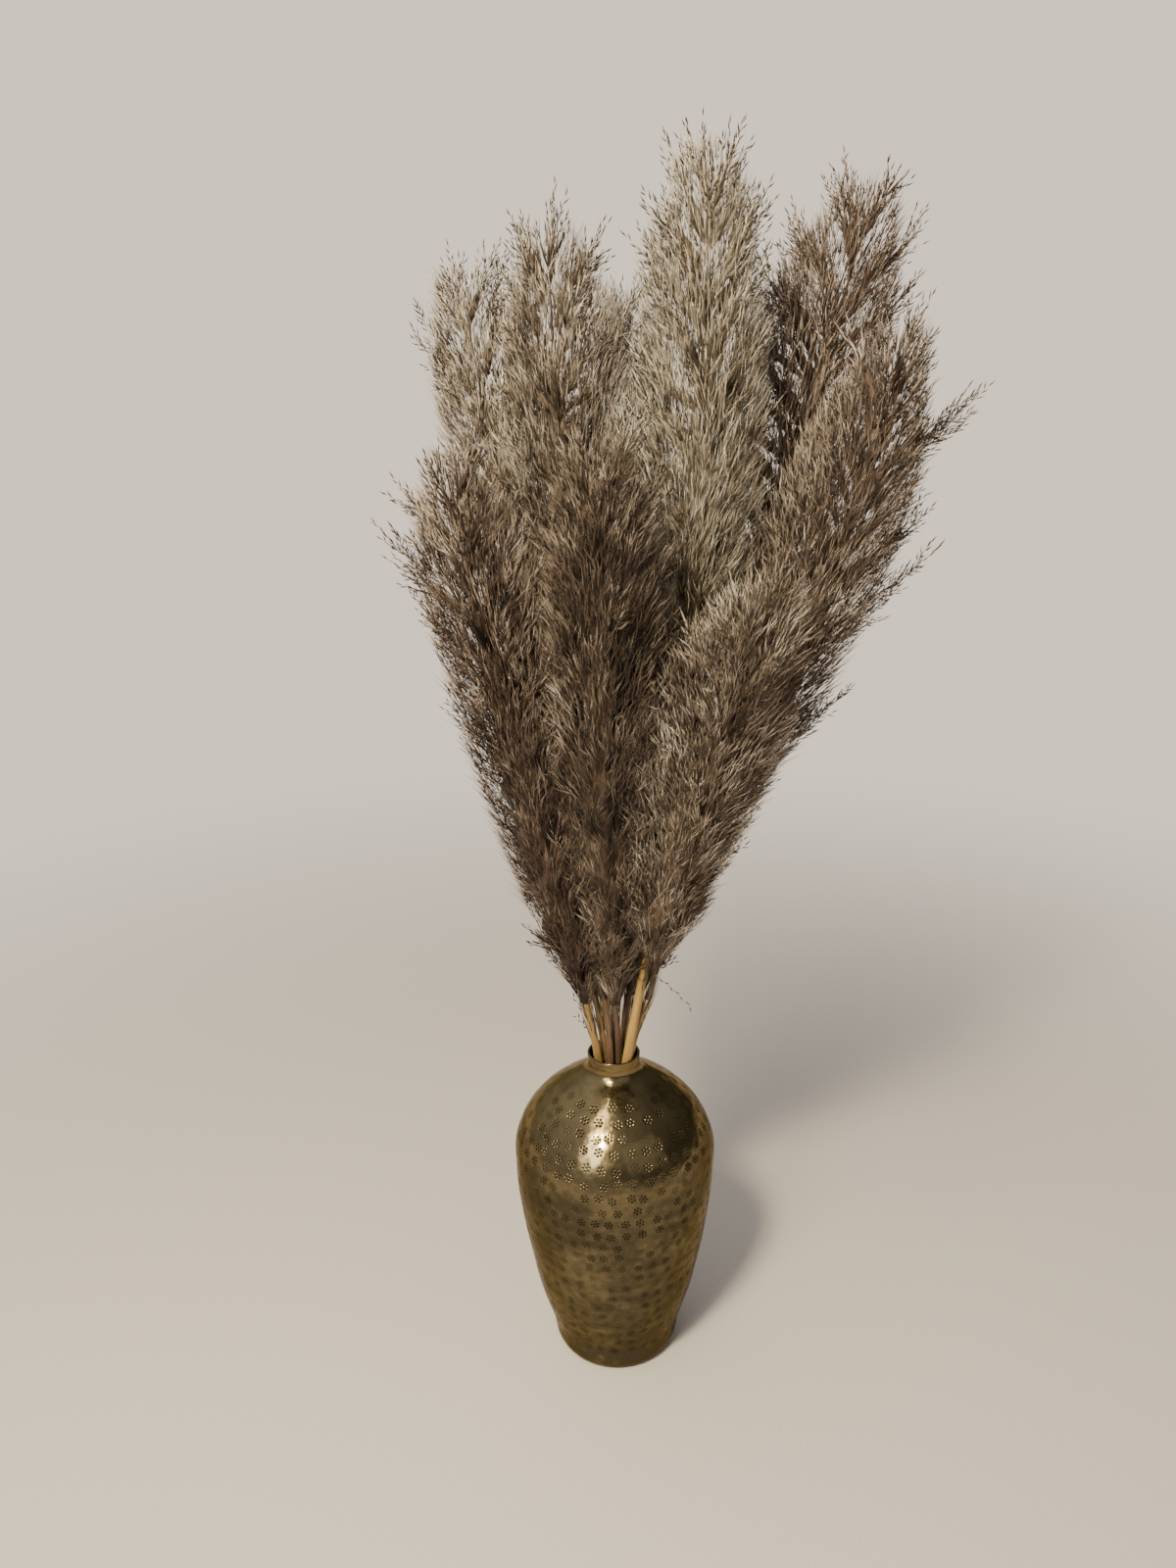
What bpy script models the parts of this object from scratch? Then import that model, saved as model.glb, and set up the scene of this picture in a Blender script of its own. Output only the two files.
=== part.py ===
"""Hammered brass vase with nine dried grass plumes on their canes.

Metres, +Z up. The origin is the middle of the vase's flat foot, and the front is -Y.
Every stalk follows one smooth path from its foot in the vase, through the mouth, to the tip of
its plume. The cane is the part of the path below the plume, and the plume the part above it.
"""

import math
from dataclasses import dataclass

import bmesh
import bpy
from mathutils import Vector

# Vase
VASE_HEIGHT = 0.340
WALL = 0.0025
FLOOR = 0.004
NECK = 0.300
VASE_SIDES = 36
RING_STEP = 0.016
# The outer side from the foot to just below the lip, as (height, radius)
VASE_SIDE = (
    (0.000, 0.0575),
    (0.004, 0.0605),
    (0.030, 0.0668),
    (0.070, 0.0790),
    (0.120, 0.0890),
    (0.170, 0.0970),
    (0.215, 0.1010),
    (0.245, 0.0998),
    (0.270, 0.0893),
    (0.290, 0.0730),
    (0.305, 0.0540),
    (0.315, 0.0390),
    (0.3205, 0.0300),
    (0.325, 0.0265),
    (0.333, 0.0258),
    (VASE_HEIGHT - WALL / 2, 0.0262),
)
LIP_POINTS = 4

# Canes
FOOT_HEIGHT = FLOOR + 0.0006
CANE_SIDES = 8
CANE_STEP = 0.034
CANE_TAPER = 0.82
CANE_ROOM = 2.2

# Plumes
PLUME_SIDES = 10
# All plumes share levels this far apart
LEVEL = 0.050
GAP = 0.0003
CELL_GAP = 0.0030
LOCK_GAP = 0.0065
CORE_SHARE = 0.70
TIP_RADIUS = 0.0035
# A plume's half width from its foot to its tip, as (share of its length, share of its fullness)
PLUME_SHAPE = (
    (0.00, 0.30),
    (0.12, 0.50),
    (0.30, 0.70),
    (0.50, 0.88),
    (0.70, 1.00),
    (0.84, 0.92),
    (0.94, 0.52),
    (1.00, 0.06),
)
LOCKS_PER_PLUME = 8
LOCK_RISE = 0.072
LOCK_REACH = 1.22
LOCK_TURN = 137.5
LOCK_LOWEST = 0.06
LOCK_SPAN = 0.74
LOCK_ROOM = 0.012
# How a lock narrows: (share of its reach, share of its rise, size of its section)
LOCK_STAGES = ((0.42, 0.36, 0.74), (0.80, 0.74, 0.38))


@dataclass(frozen=True)
class Lock:
    """A pointed lock that stands clear of its plume.

    root is the height it leaves from, azimuth the way it points (0 is +X, 90 is the back),
    reach the distance of its tip from the plume's axis, and rise how far it climbs.
    """

    root: float
    azimuth: float
    reach: float
    rise: float


@dataclass(frozen=True)
class Stalk:
    """One stalk of grass.

    foot is the (x, y) of its cut end on the vase's floor. path holds its points in the neck, at
    the mouth, where the plume begins, and on to the tip. cane is the cane's radius at the mouth,
    full the plume's largest half width, and long_locks the locks that show apart from the rest.
    """

    foot: tuple
    path: tuple
    cane: float
    full: float
    long_locks: tuple = ()


STALKS = {
    "left_low": Stalk(
        foot=(-0.020, 0.000),
        path=(
            (-0.0135, -0.0055, NECK),
            (-0.0160, -0.0070, 0.340),
            (-0.0270, -0.0120, 0.400),
            (-0.0560, -0.0230, 0.530),
            (-0.0860, -0.0420, 0.680),
            (-0.1110, -0.0690, 0.812),
            (-0.1310, -0.1000, 0.940),
        ),
        cane=0.0040,
        full=0.048,
        long_locks=(Lock(0.775, 180, 0.064, 0.085), Lock(0.625, 170, 0.050, 0.080)),
    ),
    "left_tall": Stalk(
        foot=(-0.011, 0.004),
        path=(
            (-0.0090, 0.0038, NECK),
            (-0.0100, 0.0040, 0.340),
            (-0.0180, 0.0080, 0.400),
            (-0.0400, 0.0140, 0.550),
            (-0.0670, 0.0260, 0.708),
            (-0.1000, 0.0420, 0.920),
            (-0.1360, 0.0600, 1.092),
        ),
        cane=0.0034,
        full=0.054,
        long_locks=(Lock(0.925, 176, 0.048, 0.090), Lock(0.975, -30, 0.056, 0.095)),
    ),
    "mid_left": Stalk(
        foot=(-0.003, -0.001),
        path=(
            (-0.0035, -0.0040, NECK),
            (-0.0035, -0.0045, 0.340),
            (-0.0080, -0.0020, 0.400),
            (-0.0140, 0.0000, 0.550),
            (-0.0260, -0.0040, 0.713),
            (-0.0400, -0.0060, 0.900),
            (-0.0480, 0.0000, 1.118),
        ),
        cane=0.0035,
        full=0.056,
        long_locks=(Lock(1.000, 20, 0.046, 0.085),),
    ),
    "mid_back": Stalk(
        foot=(0.000, 0.014),
        path=(
            (-0.0005, 0.0110, NECK),
            (0.0000, 0.0125, 0.340),
            (0.0020, 0.0180, 0.400),
            (0.0070, 0.0340, 0.515),
            (0.0120, 0.0660, 0.699),
            (0.0160, 0.1070, 0.876),
            (0.0200, 0.1600, 1.078),
        ),
        cane=0.0033,
        full=0.046,
        long_locks=(Lock(0.925, 90, 0.044, 0.085),),
    ),
    "mid_front": Stalk(
        foot=(0.004, 0.001),
        path=(
            (0.0045, -0.0015, NECK),
            (0.0050, -0.0030, 0.340),
            (0.0020, -0.0140, 0.400),
            (-0.0020, -0.0280, 0.530),
            (-0.0060, -0.0560, 0.660),
            (-0.0080, -0.0950, 0.800),
            (-0.0080, -0.1500, 0.952),
        ),
        cane=0.0033,
        full=0.050,
        long_locks=(Lock(0.825, -90, 0.046, 0.085),),
    ),
    "right_blond": Stalk(
        foot=(-0.036, -0.0125),
        path=(
            (0.0077, -0.0119, NECK),
            (0.0136, -0.0118, 0.340),
            (0.0320, -0.0130, 0.450),
            (0.0540, -0.0160, 0.640),
            (0.0690, -0.0200, 0.800),
            (0.0810, -0.0300, 0.980),
            (0.0730, -0.0500, 1.167),
        ),
        cane=0.0049,
        full=0.054,
        long_locks=(Lock(1.025, 30, 0.046, 0.085),),
    ),
    "right_front": Stalk(
        foot=(0.014, 0.000),
        path=(
            (0.0165, -0.0035, NECK),
            (0.0180, -0.0040, 0.340),
            (0.0335, -0.0050, 0.400),
            (0.0590, -0.0270, 0.530),
            (0.0860, -0.0580, 0.638),
            (0.1070, -0.1000, 0.734),
            (0.1300, -0.1500, 0.843),
        ),
        cane=0.0030,
        full=0.054,
    ),
    "right_tall": Stalk(
        foot=(0.007, 0.017),
        path=(
            (0.0080, 0.0140, NECK),
            (0.0090, 0.0125, 0.340),
            (0.0170, 0.0180, 0.400),
            (0.0460, 0.0290, 0.520),
            (0.1080, 0.0400, 0.707),
            (0.1850, 0.0640, 0.960),
            (0.2400, 0.0950, 1.160),
        ),
        cane=0.0038,
        full=0.062,
        long_locks=(Lock(0.975, 160, 0.070, 0.110), Lock(0.925, 20, 0.060, 0.090)),
    ),
    "right_low": Stalk(
        foot=(0.0125, 0.0085),
        path=(
            (0.0125, 0.0055, NECK),
            (0.0140, 0.0045, 0.340),
            (0.0250, 0.0070, 0.400),
            (0.0640, 0.0060, 0.522),
            (0.1480, -0.0140, 0.711),
            (0.2050, -0.0420, 0.880),
            (0.2340, -0.0720, 1.032),
        ),
        cane=0.0034,
        full=0.050,
        long_locks=(
            Lock(0.875, 3, 0.076, 0.085),
            Lock(0.775, -10, 0.062, 0.095),
            Lock(0.725, 0, 0.085, 0.112),
            Lock(0.625, -10, 0.062, 0.090),
        ),
    ),
}

# Finishes: colour, metallic, roughness
BRASS = ("brass", (0.290, 0.225, 0.095), 0.9, 0.35)
STRAW = ("straw", (0.420, 0.270, 0.100), 0.0, 0.60)
PLUME = ("plume", (0.330, 0.260, 0.205), 0.0, 0.95)


def slopes(stations, first):
    """The slope at each station of a smooth curve, weighted towards its nearer neighbour."""
    steps = [
        (b[0] - a[0], (b[1] - a[1]) / (b[0] - a[0])) for a, b in zip(stations, stations[1:])
    ]
    inner = [
        (width_a * slope_b + width_b * slope_a) / (width_a + width_b)
        for (width_a, slope_a), (width_b, slope_b) in zip(steps, steps[1:])
    ]
    return [steps[0][1] if first is None else first, *inner, steps[-1][1]]


def smooth(stations, at, first=None):
    """The value at a place on a smooth curve through stations, which are (place, value).

    first is the slope at its start, where that is given.
    """
    at = min(max(at, stations[0][0]), stations[-1][0])
    bends = slopes(stations, first)
    index = max(i for i in range(len(stations) - 1) if stations[i][0] <= at)
    (start, low), (end, high) = stations[index], stations[index + 1]
    span = end - start
    t = (at - start) / span
    return (
        low * (1 + 2 * t) * (1 - t) ** 2
        + high * (3 - 2 * t) * t**2
        + span * bends[index] * t * (1 - t) ** 2
        + span * bends[index + 1] * t**2 * (t - 1)
    )


def centre(stalk, height):
    """The point of the stalk's path at this height: straight up to the neck, and smooth from it."""
    place = []
    for axis in (0, 1):
        start = stalk.foot[axis]
        lean = (stalk.path[0][axis] - start) / (NECK - FOOT_HEIGHT)
        if height < NECK:
            place.append(start + lean * (height - FOOT_HEIGHT))
        else:
            place.append(smooth([(p[2], p[axis]) for p in stalk.path], height, lean))
    return Vector((*place, height))


def plume_foot(stalk):
    return stalk.path[2][2]


def plume_tip(stalk):
    return stalk.path[-1][2]


def half_width(stalk, height):
    """The plume's natural half width at this height, or a little over the cane's below it."""
    if height < plume_foot(stalk):
        return CANE_ROOM * stalk.cane
    share = (height - plume_foot(stalk)) / (plume_tip(stalk) - plume_foot(stalk))
    return stalk.full * smooth(PLUME_SHAPE, share)


def room(stalk, height, direction):
    """How far the plume may reach at this height before it meets a neighbour.

    Two neighbours share the space between their axes in proportion to their half widths. A
    plume keeps its space up to one level above its tip.
    """
    here = centre(stalk, height)
    own = half_width(stalk, height)
    nearest = math.inf
    for other in STALKS.values():
        if other is stalk or height > plume_tip(other) + LEVEL:
            continue
        away = centre(other, height) - here
        facing = away.normalized().dot(direction)
        if facing <= 0:
            continue
        theirs = half_width(other, min(height, plume_tip(other)))
        nearest = min(nearest, away.length * own / (own + theirs) / facing)
    return nearest


def plume_levels(stalk):
    """The heights of a plume's rings: levels that all plumes share, up to near the tip."""
    first = round(plume_foot(stalk) / LEVEL)
    last = math.floor((plume_tip(stalk) - LEVEL / 3) / LEVEL)
    return [level * LEVEL for level in range(first, last + 1)]


def compass(side):
    turn = math.tau * side / PLUME_SIDES
    return Vector((math.cos(turn), math.sin(turn), 0))


def core_radius(stalk, height, side):
    """The body's radius here: uneven as a tuft is, and inside the plume's own space."""
    phase = 31 * stalk.full * 1000 + 60 * height
    uneven = 1 + 0.10 * math.sin(3 * math.tau * side / PLUME_SIDES + phase)
    natural = CORE_SHARE * half_width(stalk, height) * uneven
    return min(natural, room(stalk, height, compass(side)) - CELL_GAP)


def loft(rings):
    """A closed body through a stack of rings, lowest first, flat at both ends."""
    bm = bmesh.new()
    loops = [[bm.verts.new(point) for point in ring] for ring in rings]
    bm.faces.new(reversed(loops[0]))
    bm.faces.new(loops[-1])
    for low, high in zip(loops, loops[1:]):
        for side in range(len(low)):
            after = (side + 1) % len(low)
            bm.faces.new((low[side], low[after], high[after], high[side]))
    return bm, loops


def kept_in(stalk, point):
    """The point, drawn back towards the plume's axis where it would leave the plume's space."""
    axis = centre(stalk, point.z)
    out = point - axis
    limit = room(stalk, point.z, out.normalized()) - LOCK_GAP
    return axis + out * min(1, limit / out.length)


def raise_lock(bm, face, stalk, lock):
    """Draws one face of the plume out and up in stages to a pointed lock."""
    root = face.calc_center_median()
    corners = [vert.co - root for vert in face.verts]
    turn = math.radians(lock.azimuth)
    direction = Vector((math.cos(turn), math.sin(turn), 0))
    start = (root - centre(stalk, root.z)).length

    def middle(out, up):
        height = root.z + up * lock.rise
        return centre(stalk, height) + direction * (start + out * (lock.reach - start))

    for out, up, size in LOCK_STAGES:
        face = bmesh.ops.extrude_discrete_faces(bm, faces=[face])["faces"][0]
        for vert, corner in zip(face.verts, corners):
            vert.co = kept_in(stalk, middle(out, up) + corner * size)
    tip = bmesh.ops.poke(bm, faces=[face])["verts"][0]
    tip.co = kept_in(stalk, middle(1, 1))


def even_locks(stalk):
    """Locks all round the plume, each a golden angle on from the one below, in two rounds."""
    foot, tip = plume_foot(stalk), plume_tip(stalk)
    for index in range(LOCKS_PER_PLUME * 2):
        turns, step = divmod(index, LOCKS_PER_PLUME)
        share = LOCK_LOWEST + LOCK_SPAN * (step + 0.5) / LOCKS_PER_PLUME
        root = foot + (tip - foot) * share
        reach = LOCK_REACH * half_width(stalk, root + LOCK_RISE)
        yield Lock(root, LOCK_TURN * index + 90 * turns, reach, LOCK_RISE)


def seat(stalk, lock):
    """The level and the side of the plume's face that this lock grows from."""
    level = math.floor((lock.root - plume_levels(stalk)[0]) / LEVEL)
    return level, round(lock.azimuth / 360 * PLUME_SIDES - 0.5) % PLUME_SIDES


def seated_locks(stalk):
    """The locks that find space between the neighbours and each other, with their seats."""
    found = []
    top = len(plume_levels(stalk)) - 1
    for lock in (*stalk.long_locks, *even_locks(stalk)):
        level, side = seat(stalk, lock)
        facing = compass(lock.azimuth / 360 * PLUME_SIDES)
        space = room(stalk, lock.root + lock.rise, facing) - LOCK_GAP
        beside = [
            min((side - at) % PLUME_SIDES, (at - side) % PLUME_SIDES)
            for (other, at), _ in found
            if abs(level - other) <= 1
        ]
        cramped = space < core_radius(stalk, lock.root, side) + LOCK_ROOM
        if level < top and min(beside, default=PLUME_SIDES) > 1 and not cramped:
            found.append(((level, side), lock))
    return found[:LOCKS_PER_PLUME]


def build_plume(name, stalk):
    rings = [
        [
            centre(stalk, height) + compass(side) * core_radius(stalk, height, side)
            for side in range(PLUME_SIDES)
        ]
        for height in plume_levels(stalk)
    ]
    tip = centre(stalk, plume_tip(stalk))
    rings.append([tip + compass(side) * TIP_RADIUS for side in range(PLUME_SIDES)])
    bm, loops = loft(rings)
    for (level, side), lock in seated_locks(stalk):
        after = (side + 1) % PLUME_SIDES
        low, high = loops[level], loops[level + 1]
        corners = {low[side], low[after], high[after], high[side]}
        face = next(face for face in low[side].link_faces if set(face.verts) == corners)
        raise_lock(bm, face, stalk, lock)
    return add_object(name, bm, PLUME)


def build_cane(name, stalk):
    """A tube up to just below its plume, with level ends, that narrows above the mouth."""
    top = plume_foot(stalk) - GAP
    count = round((top - FOOT_HEIGHT) / CANE_STEP)
    rings = []
    for index in range(count + 1):
        height = FOOT_HEIGHT + (top - FOOT_HEIGHT) * index / count
        above = max(0, height - VASE_HEIGHT) / (top - VASE_HEIGHT)
        radius = stalk.cane * (1 - (1 - CANE_TAPER) * above)
        middle = centre(stalk, height)
        turns = (math.tau * side / CANE_SIDES for side in range(CANE_SIDES))
        rings.append([middle + radius * Vector((math.cos(t), math.sin(t), 0)) for t in turns])
    bm, _ = loft(rings)
    return add_object(name, bm, STRAW)


def vase_side():
    """Points (radius, height) up the outer side: every station, and more where they are far."""
    points = []
    for (low, _), (high, _) in zip(VASE_SIDE, VASE_SIDE[1:]):
        parts = max(1, round((high - low) / RING_STEP))
        heights = [low + (high - low) * part / parts for part in range(parts)]
        points += [(smooth(VASE_SIDE, height), height) for height in heights]
    return [*points, (VASE_SIDE[-1][1], VASE_SIDE[-1][0])]


def inside_of(outer):
    """Every second point of the outer side, moved inwards by the wall, down to the floor."""
    points = []
    for before, here, after in list(zip(outer, outer[1:], outer[2:]))[::2]:
        along = Vector((after[0] - before[0], after[1] - before[1])).normalized()
        points.append((here[0] - WALL * along.y, here[1] + WALL * along.x))
    return [point for point in points if point[1] > FLOOR + WALL]


def build_vase():
    """The turned profile, carried round the axis."""
    outer = vase_side()
    inner = inside_of(outer)
    lip_radius, lip_height = outer[-1]
    lip = [
        (
            lip_radius - WALL / 2 + WALL / 2 * math.cos(turn),
            lip_height + WALL / 2 * math.sin(turn),
        )
        for turn in (math.pi * step / LIP_POINTS for step in range(LIP_POINTS, 0, -1))
    ]
    floor_edge = (inner[0][0] - WALL, FLOOR)
    profile = [(0, FLOOR), floor_edge, *inner, *lip, *reversed(outer), (0, 0)]
    mesh = bpy.data.meshes.new("vase")
    edges = [(i, i + 1) for i in range(len(profile) - 1)]
    mesh.from_pydata([(radius, 0, height) for radius, height in profile], edges, [])
    vase = bpy.data.objects.new("vase", mesh)
    turned = vase.modifiers.new("turned", "SCREW")
    turned.steps = VASE_SIDES
    turned.render_steps = VASE_SIDES
    turned.use_merge_vertices = True
    turned.merge_threshold = 0.00001
    turned.use_smooth_shade = True
    dress(vase, BRASS)
    return vase


def dress(obj, finish):
    """Gives the object its finish and puts it in the scene."""
    name, colour, metallic, roughness = finish
    material = bpy.data.materials.get(name) or bpy.data.materials.new(name)
    material.use_nodes = True
    shader = material.node_tree.nodes["Principled BSDF"]
    shader.inputs["Base Color"].default_value = (*colour, 1)
    shader.inputs["Metallic"].default_value = metallic
    shader.inputs["Roughness"].default_value = roughness
    obj.data.materials.append(material)
    bpy.context.scene.collection.objects.link(obj)


def add_object(name, bm, finish):
    mesh = bpy.data.meshes.new(name)
    bm.to_mesh(mesh)
    bm.free()
    mesh.shade_smooth()
    mesh.set_sharp_from_angle(angle=math.radians(50))
    obj = bpy.data.objects.new(name, mesh)
    dress(obj, finish)
    return obj


def main():
    for obj in list(bpy.data.objects):
        bpy.data.objects.remove(obj, do_unlink=True)
    build_vase()
    for name, stalk in STALKS.items():
        build_cane(f"stem_{name}", stalk)
        build_plume(f"plume_{name}", stalk)


main()
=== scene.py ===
"""The looks of a vase of dried grass plumes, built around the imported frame.

A hammered brass-coloured vase, nine canes and nine plumes. Everything is in metres.
"""

import logging
from dataclasses import dataclass, field
from enum import Enum

import bpy
import numpy as np
from mathutils import Matrix, Vector
from numpy.typing import NDArray


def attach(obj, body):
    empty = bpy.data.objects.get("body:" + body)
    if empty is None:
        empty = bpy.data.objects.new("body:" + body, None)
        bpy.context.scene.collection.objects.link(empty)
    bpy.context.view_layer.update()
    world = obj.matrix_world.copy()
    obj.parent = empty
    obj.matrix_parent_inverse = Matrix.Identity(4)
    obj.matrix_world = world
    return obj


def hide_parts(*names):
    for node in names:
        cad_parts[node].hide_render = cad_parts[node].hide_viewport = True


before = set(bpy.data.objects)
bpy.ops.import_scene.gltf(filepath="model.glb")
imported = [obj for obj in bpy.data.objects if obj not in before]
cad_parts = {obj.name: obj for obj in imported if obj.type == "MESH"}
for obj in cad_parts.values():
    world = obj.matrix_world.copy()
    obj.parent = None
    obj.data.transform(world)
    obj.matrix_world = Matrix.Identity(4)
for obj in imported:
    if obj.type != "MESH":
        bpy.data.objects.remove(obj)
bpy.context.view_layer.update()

Floats = NDArray[np.float64]
Ints = NDArray[np.int64]
Colour = tuple[float, float, float]
Point = tuple[float, float, float]
Pair = tuple[float, float]
Socket = bpy.types.NodeSocket

LOG = logging.getLogger("vase_of_plumes")
BODY = "root"
GOLDEN_TURN = np.pi * (3.0 - np.sqrt(5.0))
MOUTH_HEIGHT = 0.340
NECK_HEIGHT = 0.300
CANE_FOOT = 0.0046
BRANCH_POINTS = 8
# Heights over which plume fibres turn paler: partly painted light from above and painted shade lower down,
# partly the plume's own browner colour low down.
PALER_AND_LIT_FROM, PALER_AND_LIT_RISE = 0.64, 0.38
NEAR_MIDDLE = 0.04
TWIG_STEPS = np.linspace(0.0, 1.0, 3)[None, :, None]
SEED_STEPS = np.array([0.0, 0.45, 1.0])[None, :, None]
SPINDLE = np.array([[0.0, 1.0, 0.0]])


# Curves and directions

def unit(vectors: Floats) -> Floats:
    """Returns the vectors divided by their own lengths."""
    lengths = np.linalg.norm(vectors, axis=-1, keepdims=True)
    return vectors / np.maximum(lengths, 1e-12)


def smooth_values(places: Floats, stations: Floats, first_slope: Floats | None = None) -> Floats:
    """Carries values smoothly through stations.

    Between two stations the value is the cubic with the two values and the two slopes there. The
    slope at a station is the mean of the steps on both sides, each weighted by the other's width.

    Args:
        places: where the values are wanted.
        stations: one row per station, its place first and then its values.
        first_slope: the slope at the first station, or None for that of the first step.

    Returns:
        One row of values for each place.
    """
    at, values = stations[:, 0], stations[:, 1:]
    widths = np.diff(at)[:, None]
    steps = np.diff(values, axis=0) / widths
    slopes = np.empty_like(values)
    slopes[0] = steps[0] if first_slope is None else first_slope
    slopes[-1] = steps[-1]
    before, after = widths[:-1], widths[1:]
    slopes[1:-1] = (before * steps[1:] + after * steps[:-1]) / (before + after)
    cell = np.clip(np.searchsorted(at, places, side="right") - 1, 0, len(at) - 2)
    width = widths[cell]
    s = ((places - at[cell]) / width[:, 0])[:, None]
    return (
        (2 * s**3 - 3 * s**2 + 1) * values[cell]
        + (s**3 - 2 * s**2 + s) * width * slopes[cell]
        + (3 * s**2 - 2 * s**3) * values[cell + 1]
        + (s**3 - s**2) * width * slopes[cell + 1]
    )


def arcs(start: Floats, leave: Floats, arrive: Floats, end: Floats, count: int) -> Floats:
    """Draws many cubic arcs at once.

    A point is the four corners weighted by (1-s)^3, 3s(1-s)^2, 3s^2(1-s) and s^3.

    Args:
        start: first corner of each arc.
        leave: second corner, which sets how the arc leaves.
        arrive: third corner, which sets how it arrives.
        end: last corner.
        count: points along each arc.

    Returns:
        Points as (arc, place along it, xyz).
    """
    s = np.linspace(0.0, 1.0, count)[None, :, None]
    corners = [corner[:, None, :] for corner in (start, leave, arrive, end)]
    weights = ((1 - s) ** 3, 3 * s * (1 - s) ** 2, 3 * s**2 * (1 - s), s**3)
    return sum(weight * corner for weight, corner in zip(weights, corners))


def square_to(directions: Floats) -> tuple[Floats, Floats]:
    """Finds two directions at right angles to each direction and to each other.

    The first is the cross product with the axis that the direction leans to least, and the
    second is the direction crossed with the first.

    Args:
        directions: unit vectors, one per row.

    Returns:
        The two sets of unit vectors.
    """
    guide = np.eye(3)[np.argmin(np.abs(directions), axis=-1)]
    first = unit(np.cross(guide, directions))
    return first, np.cross(directions, first)


def tilted(directions: Floats, tilt: Floats, turn: Floats) -> Floats:
    """Leans each direction by its tilt, towards the side that its turn gives.

    It becomes cos(tilt) * direction + sin(tilt) * side, where the side goes round with the turn.

    Args:
        directions: unit vectors, one per row.
        tilt: how far each one leans.
        turn: the angle round it of the side that it leans to.

    Returns:
        The leaning unit vectors.
    """
    first, second = square_to(directions)
    sideways = np.cos(turn)[:, None] * first + np.sin(turn)[:, None] * second
    return np.cos(tilt)[:, None] * directions + np.sin(tilt)[:, None] * sideways
def level(turn: Floats) -> Floats:
    """Returns the level unit vectors (cos turn, sin turn, 0), one per row."""
    return np.column_stack([np.cos(turn), np.sin(turn), np.zeros(len(turn))])


def travelled(points: Floats) -> Floats:
    """Returns how far along the line through all the points each one is."""
    return np.concatenate([[0], np.cumsum(np.linalg.norm(np.diff(points, axis=0), axis=1))])

def along(paths: Floats, which: Ints, share: Floats) -> tuple[Floats, Floats]:
    """Finds points and directions on paths.

    Args:
        paths: points as (path, place along it, xyz).
        which: the path of each wanted point.
        share: how far along the path it is, from 0 to 1.

    Returns:
        The points and the unit directions of the paths there.
    """
    steps = paths.shape[1] - 1
    cell = np.minimum((share * steps).astype(np.int64), steps - 1)
    part = (share * steps - cell)[:, None]
    first, second = paths[which, cell], paths[which, cell + 1]
    return first * (1 - part) + second * part, unit(second - first)


def clouds(points: Floats, size: float, seed: int) -> Floats:
    """Gives a smooth random value to each point, about -1 to 1.

    It is the sum of eight sine waves in random directions, whose lengths are near the size.

    Args:
        points: where the values are wanted.
        size: about how far a patch goes.
        seed: the start of its row of random numbers.

    Returns:
        One value for each point.
    """
    draw = np.random.default_rng(seed)
    waves = unit(draw.normal(size=(8, 3))) * (2 * np.pi / size) * draw.uniform(0.6, 1.5, (8, 1))
    return np.sin(points @ waves.T + draw.uniform(0, 2 * np.pi, 8)).sum(axis=1) / 3.2


# Meshes

class Root(Enum):
    """How a strand begins."""

    BLUNT = "a flat end"
    POINTED = "a point"


@dataclass
class Soup:
    """Points, triangles and their places on the colour chart, gathered for one mesh."""

    points: list[Floats] = field(default_factory=list)
    triangles: list[Ints] = field(default_factory=list)
    chart: list[Floats] = field(default_factory=list)
    count: int = 0

    def add(self, points: Floats, triangles: Ints, chart: Floats) -> None:
        """Adds a mesh.

        Args:
            points: its points.
            triangles: its triangles, over those points.
            chart: the place on the colour chart of each point.
        """
        self.points.append(points)
        self.triangles.append(triangles + self.count)
        self.chart.append(chart)
        self.count += len(points)

    def total(self) -> int:
        """Returns the number of triangles so far."""
        return sum(len(part) for part in self.triangles)

    def strands(self, paths: Floats, radii: Floats, sides: int, root: Root, across: Floats) -> None:
        """Adds closed strands, all of one make.

        A ring of points stands square to the path at each of its points, at
        centre + radius * (cos(turn) * first + sin(turn) * second). The last ring, and the first
        one of a pointed strand, is drawn together into one point.

        Args:
            paths: points as (strand, place along it, xyz).
            radii: the radius at each of those points.
            sides: points in a ring.
            root: how the strands begin.
            across: each strand's place across the colour chart.
        """
        number, length = paths.shape[:2]
        tangents = unit(np.gradient(paths, axis=1))
        chord = unit(paths[:, -1] - paths[:, 0])
        guide = np.eye(3)[np.argmin(np.abs(chord), axis=1)][:, None, :]
        first = unit(np.cross(guide, tangents))
        second = np.cross(tangents, first)
        pointed = int(root is Root.POINTED)
        rings = np.arange(pointed, length - 1)
        spin = (np.arange(number) * GOLDEN_TURN)[:, None, None]
        turn = spin + np.arange(sides) * (2 * np.pi / sides)
        around = (
            np.cos(turn)[..., None] * first[:, rings, None, :]
            + np.sin(turn)[..., None] * second[:, rings, None, :]
        )
        body = paths[:, rings, None, :] + radii[:, rings, None, None] * around
        parts = [body.reshape(number, -1, 3), paths[:, -1:, :]]
        if pointed:
            parts.append(paths[:, :1, :])
        points = np.concatenate(parts, axis=1)
        pattern = strand_pattern(len(rings), sides, root)
        per_strand = points.shape[1]
        offsets = (np.arange(number) * per_strand)[:, None, None]
        share = np.concatenate([np.repeat(rings / (length - 1.0), sides), [1.0], [0.0] * pointed])
        chart = np.empty((number, per_strand, 2))
        chart[..., 0] = across[:, None]
        chart[..., 1] = share
        self.add(points.reshape(-1, 3), (pattern + offsets).reshape(-1, 3), chart.reshape(-1, 2))


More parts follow.
